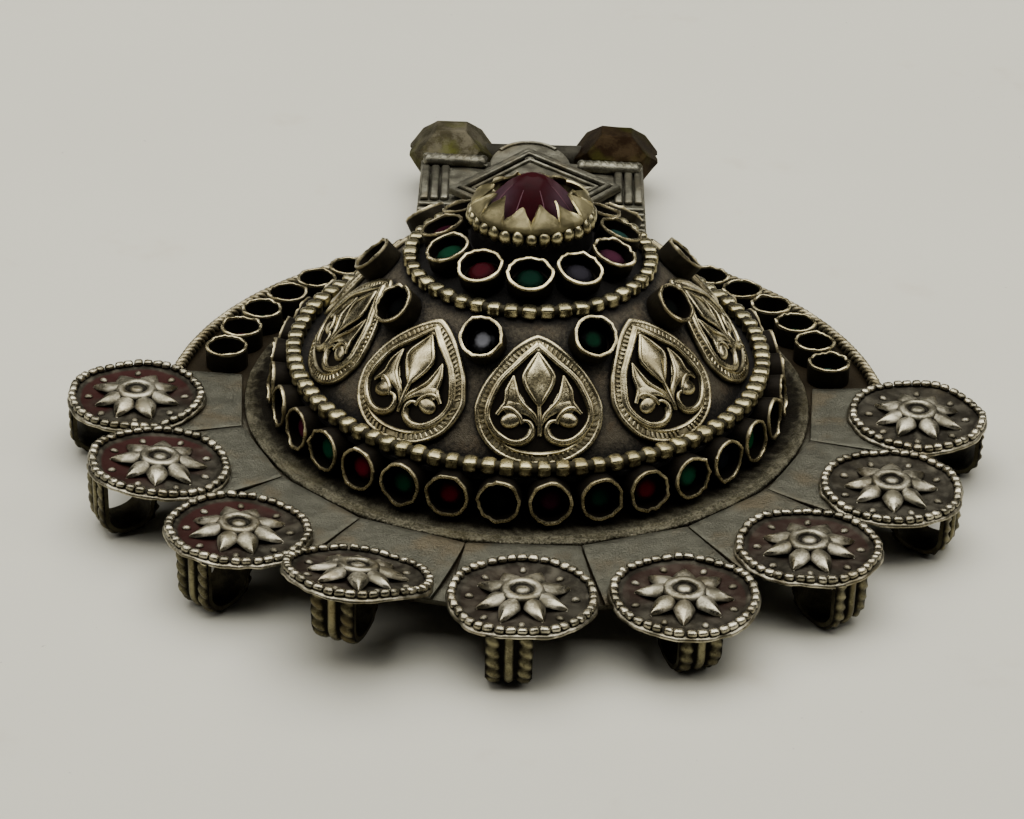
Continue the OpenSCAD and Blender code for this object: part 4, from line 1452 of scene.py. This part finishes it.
def diamond_frame(part, width, low, high):
    """A raised diamond frame: a four-sided ring made by an inset and a raised border."""
    half_across, half_along = 10.4, 11.3
    piece = primitive(bpy.ops.mesh.primitive_plane_add, "frame", size=2)

    def shaped(p):
        return Vector((part * half_across * (p.x - p.y) / 2, part * half_along * (p.x + p.y) / 2, low))

    reshaped(piece, shaped)
    facing_up(piece)
    select_faces(piece, lambda c, n: True)
    inset(width)
    bpy.ops.mesh.delete(type="FACE")
    done_editing()
    thickened(piece, high - low, 1.0)
    return smooth(bevelled(piece, 0.16, 2, 40), 50)


def plaque_piece():
    """Diamond plaque: three ridged frames, a field with leaves and a small hole near its rounded far end."""
    sheet = grid("sheet", 40, 40)

    def shaped(p):
        x, y = (p.x - p.y) / 2, (p.x + p.y) / 2
        spot = Vector((x * 10.38, y * 11.28, 0))
        return spot + Vector((0, 0, 0.4 + wobble(spot, 0.6, 0.1).z))

    reshaped(sheet, shaped)
    thickened(facing_up(outwards(sheet)), 0.36)
    parts = [smooth(sheet, 40)]
    for part, width, high in ((0.995, 0.7, 0.85), (0.88, 0.55, 1.1), (0.74, 0.35, 0.85)):
        parts.append(diamond_frame(part, width, 0.3, high))
    # The rounded far end bends up past a fold, to lie over the tube
    middle, fold, radius = 7.65, 9.2, 4.85

    def risen(p):
        return p + Vector((0, 0, 0.19 * max(0.0, p.y - fold)))

    lobe = primitive(bpy.ops.mesh.primitive_cylinder_add, "lobe", vertices=64, radius=radius, depth=0.34)
    lobe.data.transform(shift(0, middle, 0.19))
    edit_all(lobe)
    bpy.ops.mesh.bisect(plane_co=(0, fold, 0), plane_no=(0, 1, 0))
    done_editing()
    parts.append(smooth(reshaped(bevelled(lobe, 0.1, 2), risen), 40))
    angles = [math.radians(42 + 96 * step / 30) for step in range(31)]
    reach = radius - 0.25
    arch = [tuple(risen(Vector((reach * math.cos(a), middle + reach * math.sin(a), 0.42)))) for a in angles]
    parts.append(smooth(swept("arch", [arch], 0.24), 60))
    blade = smooth_line([(0, 0.5, 0.1), (0, 1.5, 0.8), (0, 3.0, 0.75), (0, 4.4, 0.05)])
    for angle in (-50, 0, 50, 130, 180, 230):
        leaf = leaf_shape(blade, 0.5)
        leaf.data.transform(shift(0, 0, 0.1) @ turn(angle))
        parts.append(leaf)
    for side in (-1, 1):
        fan = [(side * 3.0, 0, 0.1), (side * 4.4, 0.3, 0.7), (side * 6.0, 0, 0.5), (side * 7.0, -0.2, 0.05)]
        parts.append(leaf_shape(smooth_line(fan), 0.45))
    eye = hoop("eye", 0.5, 0.16, 24, 8, 0.5)
    eye.data.transform(shift(0, 8.35, 0))
    parts.append(smooth(eye, 60))
    boss = ball("boss", 1, 14, 8)
    boss.data.transform(shift(0, 0, 0.5) @ stretch(1.1, 1.1, 0.5))
    parts.append(smooth(boss, 60))
    plaque = joined(parts, "plaque")
    plaque.data.transform(shift(0.4, 47.8, 1.0) @ turn(5))
    return plaque


def knob_piece(side):
    """A block with every edge cut off, bored for the bail tube and worn soft."""
    w, d, h = 10.5, 7.9, 8.5
    knob = cube("knob", stretch(w, d, h))
    # A point on each cut's plane and the way that falls off
    cuts = []
    for a in (-1, 1):
        for b in (-1, 1):
            cuts.append(((a * w / 2, b * (d / 2 - 2.2), 0), (a * 2.2, b * 2.4, 0)))
            outer = a == side
            if b > 0:
                cuts.append(((a * w / 2, 0, h / 2 - 3.4), (a * 3.4, 0, 1.8 if outer else 2.2)))
            else:
                cuts.append(((a * w / 2, 0, 0.6 if outer else -0.9), (a * 5, 0, -4.7)))
            cuts.append(((0, a * d / 2, b * (h / 2 - 2.5)), (0, a * 2.5, b * 2.2)))
    for spot, way in cuts:
        edit_all(knob)
        bpy.ops.mesh.bisect(plane_co=spot, plane_no=way, use_fill=True, clear_outer=True)
        done_editing()
    bevelled(outwards(knob), 0.16, 2, 20)
    # The bore is cut while the block is clean: a worn one can be lost in the cut
    drill = primitive(bpy.ops.mesh.primitive_cylinder_add, "drill", vertices=32, radius=1.15, depth=14)
    drill.data.transform(Matrix.Rotation(math.pi / 2, 4, "Y"))
    active(knob)
    hole = knob.modifiers.new("hole", "BOOLEAN")
    hole.object = drill
    hole.operation = "DIFFERENCE"
    bpy.ops.object.modifier_apply(modifier="hole")
    dropped(drill)
    edit_all(knob)
    bpy.ops.mesh.quads_convert_to_tris(quad_method="FIXED", ngon_method="CLIP")
    bpy.ops.mesh.subdivide(number_cuts=5)
    done_editing()
    slant = 0.05 if side > 0 else 0.01
    reshaped(knob, lambda p: Vector((p.x, p.y, p.z - slant * (p.x + 5) * max(0.0, p.z) / 4.2)))

    def worn(p):
        """A little smaller and uneven, but no deeper than the solid."""
        spot = p * 0.985 + wobble(p, 0.3, 0.1, side)
        return Vector((spot.x, limited(spot.y, 0.03 - d / 2, d / 2 - 0.03), spot.z))

    reshaped(knob, worn)
    if knob.dimensions.x < 0.9 * w or knob.dimensions.z < 0.9 * h:
        raise RuntimeError("The bore left too little of a knob")
    knob.data.transform(shift(side * KNOB_X + (0.35 if side < 0 else 0.0), KNOB_Y, KNOB_Z))
    return smooth(knob, 24)


class PENDANT_OT_neck(bpy.types.Operator):
    """Neck with its ridges and rope bar, diamond plaque, two knobs and the bail tube"""

    bl_idname = "pendant.neck"
    bl_label = "Neck, plaque, knobs and bail"

    def execute(self, context):
        finished(neck_piece(), "neck_ribbed", finish_of("grey_sheet"), "grey_metal", "neck")
        finished(plaque_piece(), "plaque_relief", finish_of("grey_sheet"), "grey_metal", "diamond_plaque")
        finished(knob_piece(-1), "knob_left_worn", finish_of("olive_metal"), "knob_metal", "knob_left")
        finished(knob_piece(1), "knob_right_worn", finish_of("brown_metal"), "knob_metal", "knob_right")
        tube = lathe("tube", [
            (1.15, -12.8), (1.6, -12.8), (1.7, -12.7), (1.7, 0), (1.7, 12.7), (1.6, 12.8), (1.15, 12.8), (1.1, 12.7),
            (1.1, -12.7), (1.15, -12.8),
        ], 48)
        tube.data.transform(shift(0, KNOB_Y, KNOB_Z) @ Matrix.Rotation(math.pi / 2, 4, "Y"))
        written(tube, "oxide_and_shade", 0.8)
        finished(smooth(tube, 40), "bail_tube_worn", finish_of("grey_sheet"), "grey_metal", "bail_tube")
        return {"FINISHED"}


class PENDANT_OT_stage(bpy.types.Operator):
    """Pale floor, soft light and the camera at the photograph's angle"""

    bl_idname = "pendant.stage"
    bl_label = "Floor, light and camera"

    def execute(self, context):
        floor = primitive(bpy.ops.mesh.primitive_plane_add, "floor", size=3)
        floor.data.materials.append(pale_floor("pale_floor", tuple(context.scene.pendant_colours.floor)))
        # Name, place in metres, size, power and colour
        lights = (
            ("overhead", (0.0, 0.1, 0.56), 0.75, 7.9, (1.0, 0.99, 0.95)),
            ("left", (-0.5, -0.1, 0.42), 0.3, 1.0, (1.0, 0.98, 0.94)),
            ("right", (0.5, -0.06, 0.42), 0.3, 0.8, (1.0, 0.98, 0.94)),
        )
        for name, spot, size, power, tone in lights:
            bpy.ops.object.light_add(type="AREA", location=spot)
            light = bpy.context.object
            light.name = name
            light.data.name = name
            light.data.size = size
            light.data.energy = power
            light.data.color = tone
            light.rotation_euler = (-Vector(spot)).to_track_quat("-Z", "Y").to_euler()
        world = bpy.data.worlds.new("studio")
        context.scene.world = world
        world.use_nodes = True
        sky = world.node_tree.nodes["Background"]
        sky.inputs["Color"].default_value = (0.93, 0.94, 0.95, 1)
        sky.inputs["Strength"].default_value = 0.03
        bpy.ops.object.camera_add(location=(-0.0005968, -0.2862367, 0.1590122))
        camera = bpy.context.object
        # The photograph's view, in degrees and millimetres
        camera.rotation_euler = [math.radians(a) for a in (60.69684, -1.22330, 0.88007)]
        camera.data.sensor_width = 36
        camera.data.sensor_fit = "HORIZONTAL"
        camera.data.lens = 105.469
        camera.data.clip_start = 0.01
        camera.data.clip_end = 10
        context.scene.camera = camera
        return {"FINISHED"}


STEPS = (
    PENDANT_OT_plate, PENDANT_OT_dome, PENDANT_OT_collets, PENDANT_OT_wires, PENDANT_OT_strips, PENDANT_OT_hearts,
    PENDANT_OT_centre, PENDANT_OT_neck, PENDANT_OT_stage,
)


class PENDANT_PT_panel(bpy.types.Panel):
    """Buttons for each group of pieces"""

    bl_label = "Domed Pendant"
    bl_idname = "PENDANT_PT_panel"
    bl_space_type = "VIEW_3D"
    bl_region_type = "UI"
    bl_category = "Pendant"

    def draw(self, context):
        column = self.layout.column()
        for group in (context.scene.pendant_sizes, context.scene.pendant_colours):
            for key in group.__annotations__:
                column.prop(group, key)
        for step in STEPS:
            column.operator(step.bl_idname)


CLASSES = (PendantSizes, PendantColours, *STEPS, PENDANT_PT_panel)


def register():
    for kind in CLASSES:
        bpy.utils.register_class(kind)
    bpy.types.Scene.pendant_sizes = PointerProperty(type=PendantSizes)
    bpy.types.Scene.pendant_colours = PointerProperty(type=PendantColours)


def unregister():
    del bpy.types.Scene.pendant_colours
    del bpy.types.Scene.pendant_sizes
    for kind in reversed(CLASSES):
        bpy.utils.unregister_class(kind)


def main():
    register()
    for step in STEPS:
        group, name = step.bl_idname.split(".")
        getattr(getattr(bpy.ops, group), name)()


if __name__ == "__main__":
    main()
